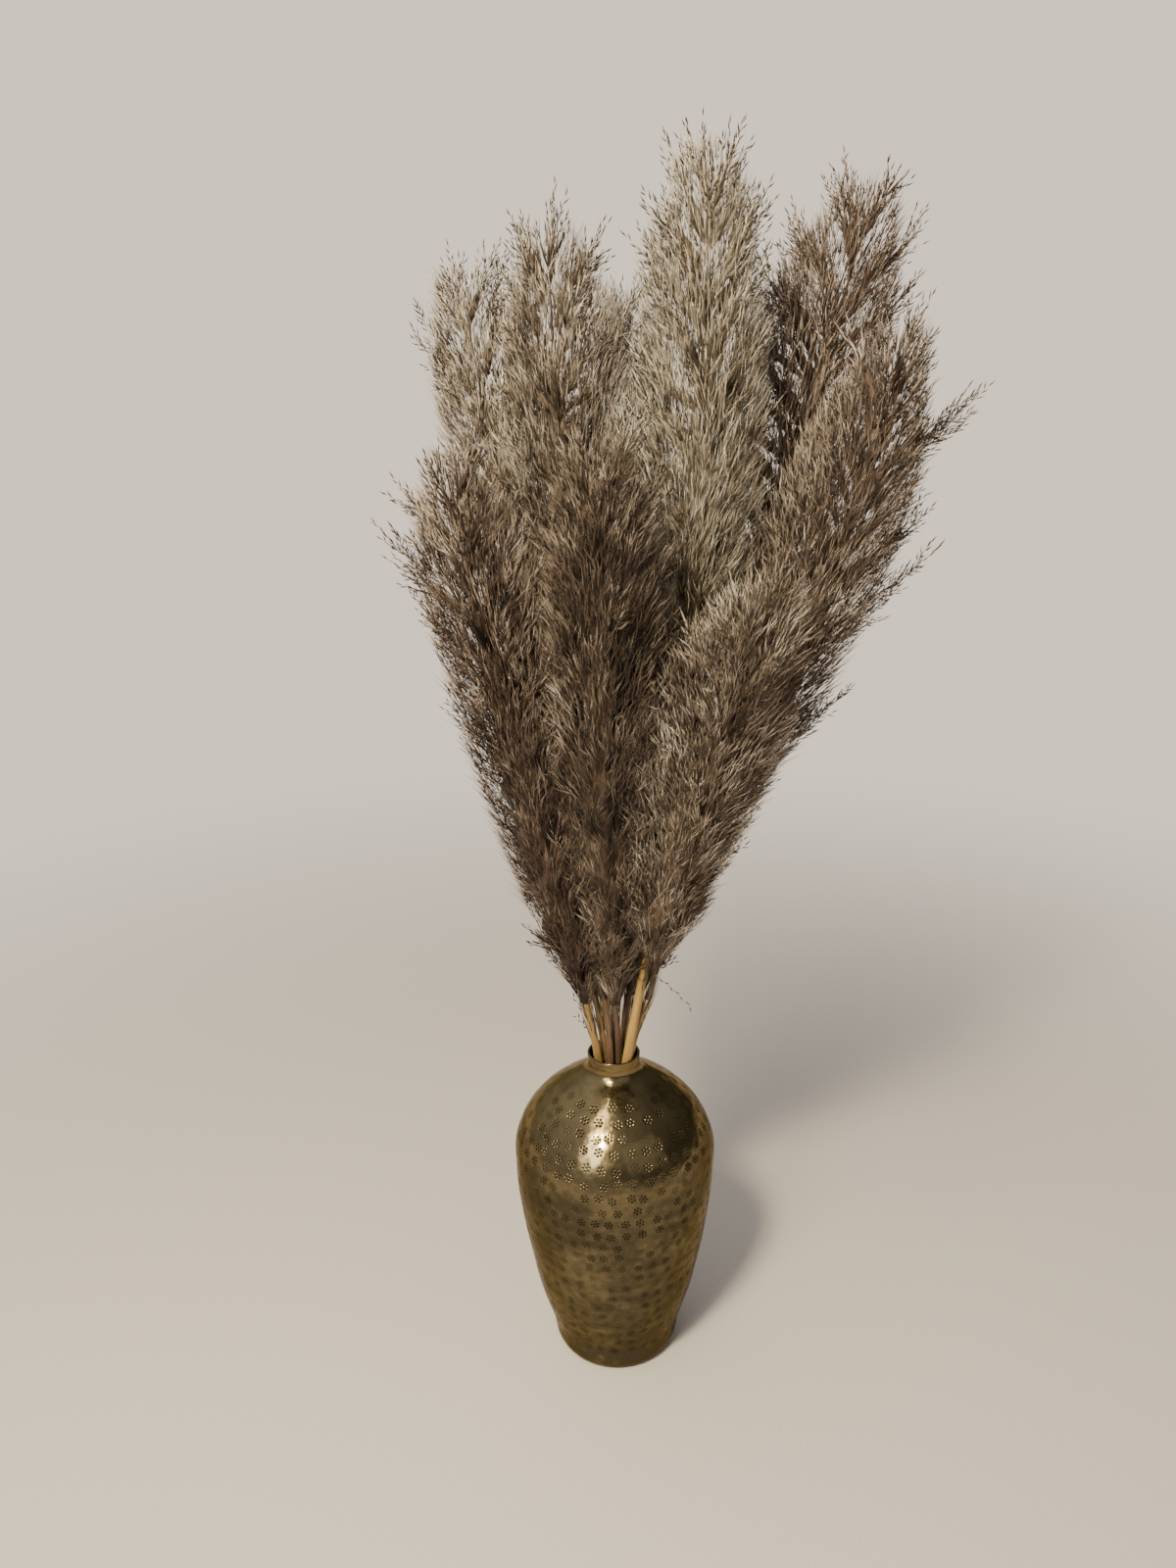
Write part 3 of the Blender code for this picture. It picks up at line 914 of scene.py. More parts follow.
@dataclass
class Plume:
    """One dried plume: branches on a middle stem, branchlets, seed heads, and silky fluff.

    Numbers that end in a_bulk are for each square metre of a stalk's bulk, leans are in degrees,
    and pairs of lengths are the least and the greatest.
    """

    stalk: Stalk
    seed: int
    branches_a_bulk: float = 2500.0
    branch_rise_low: float = 0.140
    branch_rise_top: float = 0.055
    branch_radii: Pair = (0.00048, 0.00022)
    branchlets: int = 14
    loose_branchlets: int = 9
    twig_lean: Pair = (16, 36)
    twig_length: Pair = (0.020, 0.036)
    loose_twig_length: Pair = (0.014, 0.026)
    twig_radii: Point = (0.00026, 0.00020, 0.0)
    hairs_each: int = 17
    hairs_a_bulk: float = 445000.0
    hair_length: Pair = (0.014, 0.030)
    hair_radius: float = 0.00040
    hair_lean: Pair = (7, 34)
    seeds_each: int = 6
    seed_length: Pair = (0.0065, 0.0095)
    seed_radius: float = 0.00060
    seed_lean: Pair = (16, 34)
    core_share: float = 0.52
    core_rings: int = 90
    core_sides: int = 30
    inward: float = 0.62
    sheath_fibres: int = 42
    sheath_lean: Pair = (3, 12)
    sheath_length: Pair = (0.028, 0.062)
    sprig_lean: Pair = (20, 40)
    sprig_seed_length: Pair = (0.0055, 0.0080)
    sprig_seed_radius: float = 0.00062
    tuft_radius: float = 0.0040
    wisp_radius: float = 0.00100
    soup: Soup = field(default_factory=Soup)

    def __post_init__(self) -> None:
        """Starts the plume's own row of random numbers."""
        self.draw = np.random.default_rng(self.seed)
    def leans(self, limits: Pair, number: int) -> Floats:
        """Draws angles between two limits in degrees, and returns them in radians."""
        return np.radians(self.draw.uniform(*limits, number))
    def tones(self, points: Floats, spread: float = 0.035) -> Floats:
        """Works out how light the fibres at some points are.

        The tone rises with the distance from the stem: painted shade, darker inside the plume.
        It rises smoothly with the height between 0.64 and 1.02 m: painted light from above and painted
        shade lower down, together with the plume's own browner colour low down. It drifts in patches,
        and each fibre differs a little.

        Args:
            points: where the fibres are.
            spread: how much single fibres differ.

        Returns:
            Tones from about 0 to 1.
        """
        # Painted shade: fibres near the stem, inside the plume, are painted darker.
        depth = np.clip(self.stalk.depth(points), 0.0, 1.1)
        drawn = points * np.array([1.0, 1.0, 0.6])
        patches = 0.09 * clouds(points, 0.085, self.seed + 1)
        patches = patches + 0.10 * clouds(drawn, 0.030, self.seed + 2)
        single = self.draw.normal(0.0, spread, len(points))
        # Painted light and shade: fibres are painted paler with height, along with the plume's own paler
        # colour higher up.
        rise = np.clip((points[:, 2] - PALER_AND_LIT_FROM) / PALER_AND_LIT_RISE, 0.0, 1.0)
        low, high = self.stalk.tone
        paler_and_lit = low + (0.38 + high - low) * rise**2 * (3 - 2 * rise)
        return 0.05 + 0.31 * depth**1.6 + paler_and_lit + patches + single

    def fuller(self, heights: Floats, out: Floats) -> Floats:
        """Works out how much fuller the plume is on the side where it leans on the others.

        It is 1, plus a share of the cosine between the side and the way to the bundle's middle,
        where that is above 0. The share falls to nothing in the middle itself.

        Args:
            heights: the heights asked about.
            out: the unit directions out of the plume.

        Returns:
            The factors on the half width.
        """
        toward, far = self.toward_middle(heights)
        facing = np.clip((out[:, :2] * toward).sum(axis=1) / np.maximum(far, 1e-6), 0.0, 1.0)
        return 1.0 + self.inward * facing * np.clip(far / NEAR_MIDDLE, 0.0, 1.0)

    def toward_middle(self, heights: Floats) -> tuple[Floats, Floats]:
        """Returns the level ways from the stem to the bundle's middle, and their lengths."""
        toward = bundle_middle(heights) - self.stalk.centre(heights)[:, :2]
        return toward, np.linalg.norm(toward, axis=1)

    def gathered(self, heights: Floats, turn: Floats) -> Floats:
        """Turns directions a little towards the bundle's middle, so that more of them face it.

        The sine of the angle to the way to the middle is taken from each, times a share that
        falls to nothing in the middle itself.

        Args:
            heights: the heights that they leave at.
            turn: the directions, as angles round the stem.

        Returns:
            The new angles.
        """
        toward, far = self.toward_middle(heights)
        side = np.arctan2(toward[:, 1], toward[:, 0])
        share = self.stalk.gathering * np.clip(far / NEAR_MIDDLE, 0.0, 1.0)
        return turn - share * np.sin(turn - side)

    def main_branches(self) -> Floats:
        """Draws the branches that leave the stem.

        A branch leaves the stem nearly along it, at a golden turn from the last one, and arches
        out to its tip at a share of the plume's half width.

        Returns:
            Their paths as (branch, place along it, xyz).
        """
        stalk = self.stalk
        length = stalk.top - stalk.bottom
        number = int(self.branches_a_bulk * stalk.bulk)
        grid = np.linspace(0.04 + 1.2 * stalk.bare, 0.965, 400)
        weight = np.cumsum(0.25 + smooth_values(grid, PLUME_SHAPE)[:, 0])
        share = np.interp((np.arange(number) + 0.5) / number * weight[-1], weight, grid)
        rise = self.branch_rise_low + (self.branch_rise_top - self.branch_rise_low) * share
        rise = rise * self.draw.uniform(0.8, 1.2, number)
        tip_height = stalk.bottom + share * length
        root_height = np.maximum(tip_height - rise, stalk.bottom + 0.002 + 0.05 * share * length)
        root_height = np.minimum(root_height, tip_height - 0.012)
        turn = np.arange(number) * GOLDEN_TURN + self.draw.normal(0, 0.25, number)
        turn = self.gathered(tip_height, turn)
        out = level(turn)
        reach = stalk.half_width(tip_height) * self.draw.uniform(0.50, 0.94, number)
        reach = reach * self.fuller(tip_height, out)
        start = stalk.centre(root_height)
        end = stalk.centre(tip_height) + out * reach[:, None]
        axis = unit(stalk.centre(tip_height) - start)
        span = np.linalg.norm(end - start, axis=1)[:, None]
        lean = np.radians(46.0 - 22.0 * share + self.draw.normal(0, 7.0, number))[:, None]
        leave = start + axis * 0.42 * span
        arrive = end - (np.cos(lean) * axis + np.sin(lean) * out) * 0.36 * span
        return arcs(start, leave, arrive, end, BRANCH_POINTS)

    def loose_branches(self) -> Floats:
        """Draws the branches of the locks and sprays that stand out of the plume.

        Each one is a bundle that leaves the stem together and fans out near the tip.

        Returns:
            Their paths as (branch, place along it, xyz).
        """
        stalk = self.stalk
        roots, tips, loose = [], [], []
        for lock in stalk.long_locks:
            height = lock.root + lock.rise
            turn = np.radians(lock.azimuth)
            out = np.array([np.cos(turn), np.sin(turn), 0.0]) * lock.reach
            roots.append(lock.root)
            tips.append(stalk.centre(np.array([height]))[0] + out)
            loose.append(3)
        for spray in stalk.sprays:
            roots.append(spray.root)
            tips.append(np.array(spray.tip))
            loose.append(2)
        if not roots:
            return np.empty((0, BRANCH_POINTS, 3))
        which = np.repeat(np.arange(len(roots)), loose)
        rank = np.concatenate([np.arange(n) / n for n in loose])
        tip = np.array(tips)[which]
        height = np.array(roots)[which]
        start = stalk.centre(height)
        span = tip - start
        tip = tip - unit(span) * 0.018 - span * (0.40 * rank)[:, None]
        tip = tip + self.draw.normal(0, 0.006, tip.shape) * (rank > 0)[:, None]
        axis = unit(stalk.centre(height + 0.02) - start)
        size = np.linalg.norm(span, axis=1)[:, None]
        leave = start + axis * 0.38 * size
        arrive = tip - unit(span) * 0.30 * size + np.array((0.0, 0.0, -0.04)) * size
        return arcs(start, leave, arrive, tip, BRANCH_POINTS)

    def add_stem(self) -> None:
        """Adds the middle stem, a round strand that narrows to the tip along the stalk's line."""
        stalk = self.stalk
        heights = np.linspace(stalk.bottom - 0.004, stalk.top - 0.015, 30)
        path = stalk.centre(heights)[None]
        share = np.linspace(0.0, 1.0, 30)[None]
        radii = 0.78 * stalk.cane * (1 - share) + 0.0004 * share
        self.soup.strands(path, radii, 8, Root.BLUNT, Kind.TWIG.across(np.array([0.35])))

    def add_core(self) -> None:
        """Adds the close fluff round the stem.

        Its radius is a share of the half width, times 1 plus patches and plus furrows. The
        furrows are patches of points whose height is divided by five, so they run upwards.
        """
        stalk = self.stalk
        rings, sides = self.core_rings, self.core_sides
        start = stalk.bottom + 0.015 + stalk.bare * (stalk.top - stalk.bottom)
        heights = np.linspace(start, stalk.top - 0.085, rings)
        share = np.linspace(0, 1, rings)
        turn = np.arange(sides) * 2 * np.pi / sides
        around = level(turn)
        centre = stalk.centre(heights)[:, None, :]
        sheet = (centre + around * 0.034).reshape(-1, 3)
        patches = clouds(sheet, 0.040, self.seed + 3).reshape(rings, sides)
        furrows = clouds(sheet * np.array([1, 1, 0.2]), 0.014, self.seed + 4).reshape(rings, sides)
        ends = np.minimum(np.minimum(1.0, 1.7 * (1 - share) ** 1.25 + 0.02), 8 * share + 0.10)
        width = (self.core_share + 0.08 - 0.12 * share) * stalk.half_width(heights) * ends
        radius = width[:, None] * (1 + 0.20 * patches + 0.24 * furrows)
        points = (centre + around * radius[..., None]).reshape(-1, 3)
        caps = stalk.centre(np.array([heights[-1] + 0.004, heights[0] - 0.004]))
        quads = tube_grid(rings, sides)
        low, high = end_fans(rings, sides, rings * sides + 1, rings * sides)
        triangles = np.concatenate([quads[:, [0, 1, 2]], quads[:, [0, 2, 3]], high, low])
        points = np.concatenate([points, caps])
        # Painted shade: the core is painted darker than the hairs round it, and darker still in its hollows
        # and furrows.
        relief_shade = np.concatenate([(0.6 * patches + furrows).ravel(), [0.0, 0.0]])
        tone = self.tones(points, 0.07) + 0.07 * relief_shade - 0.07
        chart = np.column_stack([Kind.FLUFF.across(tone), np.full(len(points), 0.6)])
        self.soup.add(points, triangles, chart)

    def twigs(self, paths: Floats, each: int, first: float, lengths: tuple[float, float]) -> Floats:
        """Draws branchlets on branches.

        They leave at a golden turn from one another, lean out by 16 to 36 degrees, and bend a
        little back to the branch's own direction and up.

        Args:
            paths: the branches.
            each: how many branchlets one branch has.
            first: how far along its branch the first one is.
            lengths: the least and the greatest length of a branchlet.

        Returns:
            The branchlets' paths.
        """
        number = len(paths)
        which = np.repeat(np.arange(number), each)
        rank = np.tile(np.arange(each), number)
        share = first + (1 - first) * (rank + self.draw.uniform(-0.4, 0.4, len(rank))) / (each - 1)
        share = np.clip(share, 0.1, 1.0)
        start, forward = along(paths, which, share)
        last = rank == each - 1
        tilt = np.where(last, 0.04, self.leans(self.twig_lean, len(rank)))
        turn = rank * GOLDEN_TURN + which * 1.7
        heading = tilted(forward, tilt, turn)
        length = self.draw.uniform(*lengths, len(rank)) * (1.0 - 0.30 * share)
        bend = 0.20 * forward + np.array((0.0, 0.0, 0.12))
        size = length[:, None, None]
        return start[:, None] + size * (TWIG_STEPS * heading[:, None] + TWIG_STEPS**2 * bend[:, None])

    def add_seeds(self, twigs: Floats) -> None:
        """Adds seed heads along branchlets.

        A seed head is a spindle that leans out by 16 to 34 degrees, to alternate sides.

        Args:
            twigs: the branchlets.
        """
        number, each = len(twigs), self.seeds_each
        which = np.repeat(np.arange(number), each)
        rank = np.tile(np.arange(each), number)
        share = 0.22 + 0.78 * rank / (each - 1) + self.draw.uniform(-0.06, 0.06, len(rank))
        start, forward = along(twigs, which, np.clip(share, 0, 1))
        tilt = np.where(rank == each - 1, 0.08, self.leans(self.seed_lean, len(rank)))
        turn = rank * np.pi + which * GOLDEN_TURN + self.draw.normal(0, 0.4, len(rank))
        heading = tilted(forward, tilt, turn)
        length = self.draw.uniform(*self.seed_length, len(rank))
        up = (start[:, 2] - self.stalk.bottom) / (self.stalk.top - self.stalk.bottom)
        shown = self.stalk.depth(start) > 0.84 - 0.30 * up
        path = start[:, None] + length[:, None, None] * SEED_STEPS * heading[:, None]
        radii = self.seed_radius * SPINDLE * self.draw.uniform(0.8, 1.2, (len(rank), 1))
        tone = self.draw.uniform(0.0, 0.8, len(rank)) + 0.2 * clouds(start, 0.07, self.seed + 5)
        self.soup.strands(path[shown], radii[shown], 3, Root.POINTED, Kind.SEED.across(tone[shown]))

    def add_branch_fluff(self, branches: Floats, loose: Ints) -> None:
        """Adds silky hairs along the outer part of the branches.

        A hair leaves its branch leaning out by 7 to 34 degrees, on any side.

        Args:
            branches: the branches.
            loose: 1 for a branch that stands out of the plume, and so has fewer hairs.
        """
        which = np.repeat(np.arange(len(branches)), self.hairs_each)
        number = len(which)
        share = 0.35 + 0.65 * self.draw.uniform(0, 1, number)
        root, forward = along(branches, which, share)
        tilt = self.leans(self.hair_lean, number)
        way = tilted(forward, tilt, self.draw.uniform(0, 2 * np.pi, number))
        size = 0.8 * self.draw.uniform(*self.hair_length, number)
        out = self.stalk.depth(root + way * size[:, None])
        chance = np.clip(2.6 - 1.5 * out, 0.12, 1.0) * np.where(loose[which] > 0, 0.2, 1.0)
        kept = self.draw.uniform(0, 1, number) < chance
        self.add_hairs(root[kept], way[kept], size[kept], self.hair_radius)

    def add_tufts(self, branches: Floats) -> None:
        """Adds a close tuft of fluff round the middle of each branch.

        A tuft is a closed spindle of five sides along the branch, widest at its middle.

        Args:
            branches: the branches.
        """
        stations = np.linspace(0, 1, BRANCH_POINTS)
        place = np.interp(np.linspace(0.22, 0.90, 6), stations, np.arange(BRANCH_POINTS))
        low = place.astype(int)
        part = (place - low)[None, :, None]
        path = branches[:, low] * (1 - part) + branches[:, low + 1] * part
        number = len(branches)
        size = self.tuft_radius * self.draw.uniform(0.7, 1.3, (number, 1))
        radii = size * np.array([[0.0, 0.62, 1.0, 0.90, 0.50, 0.0]])
        # Painted shade: tufts are painted darker than the hairs round them.
        tone = self.tones(path[:, 3], 0.05) - 0.06
        self.soup.strands(path, radii, 5, Root.POINTED, Kind.FLUFF.across(tone))

    def add_wisps(self, twigs: Floats) -> None:
        """Adds a thin wisp of fluff, a spindle with a point at both ends, along each branchlet.

        Args:
            twigs: the branchlets.
        """
        size = self.wisp_radius * self.draw.uniform(0.6, 1.4, (len(twigs), 1))
        radii = size * SPINDLE
        tone = self.tones(twigs[:, 1], 0.06)
        self.soup.strands(twigs, radii, 3, Root.POINTED, Kind.FLUFF.across(tone))

    def add_fluff(self) -> None:
        """Adds the silky hairs that fill the plume.

        Their roots are spread by a golden turn round the stem, at random shares of the half
        width. A hair goes up along the stem and out, mostly by 8 to 45 degrees. The lean and the
        side drift in small patches, so that hairs lie together in wisps, and thin patches leave
        the darker inside showing.
        """
        stalk = self.stalk
        number = int(self.hairs_a_bulk * stalk.bulk)
        grid = np.linspace(stalk.bare, 0.955, 500)
        fade = np.clip((1.0 - grid) / 0.16, 0.10, 1.0)
        weight = np.cumsum((0.12 + smooth_values(grid, PLUME_SHAPE)[:, 0]) * fade)
        share = np.interp((np.arange(number) + 0.5) / number * weight[-1], weight, grid)
        height = stalk.bottom + share * (stalk.top - stalk.bottom)
        turn = np.arange(number) * GOLDEN_TURN + self.draw.normal(0, 0.4, number)
        turn = self.gathered(height, turn)
        widest = 0.98 - 0.36 * np.clip((share - 0.60) / 0.38, 0.0, 1.0)
        least = 0.50 - 0.12 * share
        inner = least + (widest - least) * self.draw.uniform(0, 1, number) ** 0.80
        out = level(turn)
        centre = stalk.centre(height)
        axis = unit(stalk.centre(height + 0.01) - centre)
        root = centre + out * (inner * stalk.half_width(height) * self.fuller(height, out))[:, None]
        wisps = clouds(root, 0.026, self.seed + 6)
        sides = clouds(root, 0.030, self.seed + 7)
        gaps = clouds(root * np.array([1, 1, 0.6]), 0.030, self.seed + 8)
        aside = np.cross(axis, out)
        begun = np.clip((share - stalk.bare) / 0.10, 0.0, 1.0)
        spread = 10.0 * wisps + self.draw.normal(0, 10.0, number)
        lean = np.radians((31.0 - 9.0 * share + spread) * (0.45 + 0.55 * begun))
        swing = 0.55 * sides + self.draw.normal(0, 0.35, number)
        sideways = unit(out + swing[:, None] * aside)
        way = np.cos(lean)[:, None] * axis + np.sin(lean)[:, None] * sideways
        size = self.draw.uniform(*self.hair_length, number) * (1.0 - 0.25 * share)
        kept = gaps + self.draw.normal(0, 0.35, number) > -0.62
        thick = self.hair_radius * (0.95 + 0.30 * share[kept])[:, None]
        # Hairs in full wisps are painted lighter and those in thin patches darker: partly a painted
        # highlight on the wisps, partly tone that drifts in patches.
        self.add_hairs(root[kept], way[kept], size[kept], thick, 0.10 * (wisps + gaps)[kept])

    def add_sheath(self) -> None:
        """Adds long thin fibres round the cane, from just above the plume's foot and below it.

        They start on the cane, go up along it and lean out by 3 to 12 degrees, with a bend back
        to the cane's own direction.
        """
        stalk = self.stalk
        number = self.sheath_fibres
        height = self.draw.uniform(stalk.bottom - 0.046, stalk.bottom + 0.030, number)
        turn = self.draw.uniform(0, 2 * np.pi, number)
        out = level(turn)
        centre = stalk.centre(height)
        axis = unit(stalk.centre(height + 0.01) - centre)
        root = centre + out * 0.8 * stalk.cane
        lean = self.leans(self.sheath_lean, number)[:, None]
        way = np.cos(lean) * axis + np.sin(lean) * out
        size = self.draw.uniform(*self.sheath_length, number)[:, None, None]
        bend = 0.5 * TWIG_STEPS**2 * (axis - way)[:, None]
        path = root[:, None] + size * (TWIG_STEPS * way[:, None] + bend)
        thick = self.draw.uniform(0.7, 1.5, (number, 1))
        radii = self.hair_radius * np.array([[1.0, 0.8, 0.0]]) * thick
        tone = self.draw.uniform(0.15, 1.0, number)
        self.soup.strands(path, radii, 3, Root.BLUNT, Kind.TWIG.across(tone))

    def add_sprigs(self) -> None:
        """Adds the thin seeded shoots near the mouth.

        A shoot is a cubic arc. Its seed heads sit along its outer part, and lean out by 20 to 40
        degrees.
        """
        for sprig in self.stalk.sprigs:
            start, tip = np.array([sprig.start]), np.array([sprig.tip])
            span = tip - start
            bend = np.array([[0.0, 0.0, 0.10 * np.linalg.norm(span)]])
            path = arcs(start, start + 0.35 * span + bend, start + 0.7 * span + bend, tip, 7)
            radii = np.linspace(0.00045, 0.0, 7)[None]
            self.soup.strands(path, radii, 4, Root.BLUNT, Kind.TWIG.across(np.array([sprig.tone])))
            share = np.linspace(0.30, 0.99, sprig.seeds)
            place, forward = along(path, np.zeros(sprig.seeds, dtype=int), share)
            tilt = self.leans(self.sprig_lean, sprig.seeds)
            heading = tilted(forward, tilt, np.arange(sprig.seeds) * np.pi + 0.7)
            size = self.draw.uniform(*self.sprig_seed_length, sprig.seeds)[:, None, None]
            husks = place[:, None] + size * SEED_STEPS * heading[:, None]
            thick = np.repeat(self.sprig_seed_radius * SPINDLE, sprig.seeds, axis=0)
            tone = np.full(sprig.seeds, sprig.tone)
            self.soup.strands(husks, thick, 4, Root.POINTED, Kind.SEED.across(tone))

    def add_hairs(
        self, root: Floats, way: Floats, size: Floats, radius: Floats | float, lighter: Floats | float = 0.0
    ) -> None:
        """Adds straight hairs that narrow to a point.

        Args:
            root: where they start.
            way: their directions.
            size: their lengths.
            radius: about how thick they are at the root.
            lighter: what is added to their tones.
        """
        number = len(root)
        s = np.array([0.0, 1.0])[None, :, None]
        path = root[:, None] + s * (way * size[:, None])[:, None]
        radii = radius * self.draw.uniform(0.7, 1.3, (number, 1)) * np.ones((1, 2))
        tone = self.tones(root + way * size[:, None] * 0.7) + lighter
        self.soup.strands(path, radii, 3, Root.BLUNT, Kind.FLUFF.across(tone))

    def build(self) -> bpy.types.Object:
        """Builds the whole plume as one piece.

        Returns:
            The piece, which stands for the frame's plume of the same name.
        """
        main, apart = self.main_branches(), self.loose_branches()
        branches = np.concatenate([main, apart])
        loose = np.repeat([0, 1], [len(main), len(apart)])
        self.add_stem()
        self.add_core()
        self.add_tufts(main)
        self.add_fluff()
        self.add_branch_fluff(branches, loose)
        share = np.linspace(0, 1, BRANCH_POINTS)[None]
        thick, thin = self.branch_radii
        radii = np.repeat(thick * (1 - share) + thin * share, len(branches), axis=0)
        tone = self.draw.uniform(0.2, 0.9, len(branches))
        self.soup.strands(branches, radii, 3, Root.BLUNT, Kind.TWIG.across(tone))
        inner_twigs = self.twigs(main, self.branchlets, 0.34, self.twig_length)
        outer_twigs = self.twigs(apart, self.loose_branchlets, 0.42, self.loose_twig_length)
        twigs = np.concatenate([inner_twigs, outer_twigs])
        thin = np.repeat(np.array([self.twig_radii]), len(twigs), axis=0)
        tone = self.draw.uniform(0.2, 0.9, len(twigs))
        self.soup.strands(twigs, thin, 3, Root.BLUNT, Kind.TWIG.across(tone))
        self.add_wisps(inner_twigs)
        self.add_seeds(twigs)
        self.add_sheath()
        self.add_sprigs()
        LOG.info("%s: %d triangles", self.stalk.name, self.soup.total())
        name = "grass_" + self.stalk.name
        mesh = bpy.data.meshes.new(name)
        points = np.concatenate(self.soup.points)
        triangles = np.concatenate(self.soup.triangles)
        points[:, 2] = np.maximum(points[:, 2], self.stalk.bottom - 0.05)
        mesh.from_pydata(points, [], triangles)
        write_chart(mesh, "OFBake", np.concatenate(self.soup.chart)[triangles.ravel()])
        material = PlumeFinish("fluff_" + self.stalk.name, self.stalk.colours).build()
        return finished(name, mesh, material, "plume_" + self.stalk.name)


# The canes

@dataclass(frozen=True)
class CaneFinish:
    """The finish of a cane: dry straw with fine streaks along it, freckles and darker joints."""

    name: str
    pale: Colour
    dark: Colour

    def build(self) -> bpy.types.Material:
        """Makes the material. The streaks are noise stretched along the cane.

        Returns:
            The material.
        """
        finish = Finish(self.name)
        place = finish.attribute("cane_place", "Vector")
        joint = finish.attribute("cane_joint")
        streaks = finish.stretched(place, (7.0, 7.0, 14.0), 5.0, 0.65)
        patches = finish.stretched(place, (1.2, 1.2, 30.0))
        freckles = finish.stretched(place, (5.0, 5.0, 420.0), 1.0)
        share = finish.times_plus(patches, 0.7, finish.times(streaks, 0.6))
        colour = finish.mix(finish.between(share, 0.42, 0.88), self.pale, self.dark)
        spotted = finish.mix(finish.between(freckles, 0.66, 0.74, 0.0, 0.45), colour, self.dark)
        deep = tuple(0.35 * value for value in self.dark)
        finish.surface(
            {
                "Base Color": finish.mix(finish.times(joint, 0.8), spotted, deep),
                "Roughness": finish.between(streaks, 0.2, 0.8, 0.38, 0.6),
                "Normal": finish.bump(streaks, 0.35, 0.0003),
            }
        )
        return finish.material


@dataclass
class Cane:
    """The bare cane of a stalk, from the vase's floor to the plume, with swollen joints."""

    stalk: Stalk
    seed: int
    sides: int = 18
    rings: int = 110
    taper: float = 0.82
    joint_step: float = 0.118
    joint_swell: float = 0.10
    joint_width: float = 0.0022

    def build(self) -> bpy.types.Object:
        """Builds the cane.

        Rings of points stand square to the stalk's line. Their radius narrows above the mouth.
        Each joint adds a swelling of exp(-(distance / width)^2), and takes a narrower groove of
        the same form away just above it.

        Returns:
            The piece, which stands for the frame's stem of the same name.
        """
        stalk = self.stalk
        draw = np.random.default_rng(self.seed)
        heights = np.linspace(CANE_FOOT, stalk.bottom, self.rings)
        joints = 0.425 + self.joint_step * np.arange(-4, 2) + draw.uniform(-0.02, 0.02)
        if stalk.name == "right_blond":
            joints = np.array([0.08, 0.20, 0.318, 0.4245])
        closer = [joint + np.linspace(-0.005, 0.006, 12) for joint in joints]
        heights = np.unique(np.concatenate([heights, *closer]))
        heights = heights[(heights >= CANE_FOOT) & (heights <= stalk.bottom)]
        rings = len(heights)
        line = stalk.centre(heights)
        tangent = unit(np.gradient(line, axis=0))
        first = unit(np.cross(np.array([[0.0, 1.0, 0.0]]), tangent))
        second = np.cross(tangent, first)
        away = heights[:, None] - joints
        swell = np.exp(-((away / self.joint_width) ** 2)).sum(axis=1)
        groove = np.exp(-(((away - 0.0024) / 0.0007) ** 2)).sum(axis=1)
        narrow = np.interp(heights, [MOUTH_HEIGHT, stalk.bottom], [1.0, self.taper])
        turn = np.arange(self.sides) * 2 * np.pi / self.sides
        flutes = 1 + 0.02 * np.sin(3 * turn + 1.0) + 0.012 * np.sin(7 * turn)
        radius = stalk.cane * narrow * (1 + self.joint_swell * swell - 0.05 * groove)
        around = np.cos(turn)[:, None] * first[:, None] + np.sin(turn)[:, None] * second[:, None]
        points = line[:, None] + (radius[:, None] * flutes)[..., None] * around
        ends = np.stack([line[0], line[-1]])
        name = "cane_" + stalk.name
        mesh = bpy.data.meshes.new(name)
        points = np.concatenate([points.reshape(-1, 3), ends])
        mesh.from_pydata(points, [], closed_tube(rings, self.sides))
        place = np.repeat(level(turn)[None], rings, axis=0)
        place[..., 2] = heights[:, None]
        place = np.concatenate([place.reshape(-1, 3), [[0, 0, heights[0]], [0, 0, heights[-1]]]])
        write_attribute(mesh, "cane_place", "POINT", place)
        mark = np.repeat(np.clip(groove + 0.25 * swell, 0, 1), self.sides)
        write_attribute(mesh, "cane_joint", "POINT", np.concatenate([mark, [0.5, 0.2]]))
        material = CaneFinish("straw_" + stalk.name, stalk.cane_colour, stalk.cane_dark).build()
        return finished(name, mesh, material, "stem_" + stalk.name)


# The vase

# The outer side from the foot to the lip: (height, radius)
VASE_SIDE = np.array(
    (
        (0.0000, 0.0575), (0.0040, 0.0605), (0.0300, 0.0668), (0.0700, 0.0790),
        (0.1200, 0.0890), (0.1700, 0.0970), (0.2150, 0.1010), (0.2450, 0.0998),
        (0.2700, 0.0893), (0.2900, 0.0730), (0.3050, 0.0540), (0.3150, 0.0390),
        (0.3205, 0.0300), (0.3250, 0.0265), (0.3330, 0.0258), (0.33875, 0.0262),
    )
)


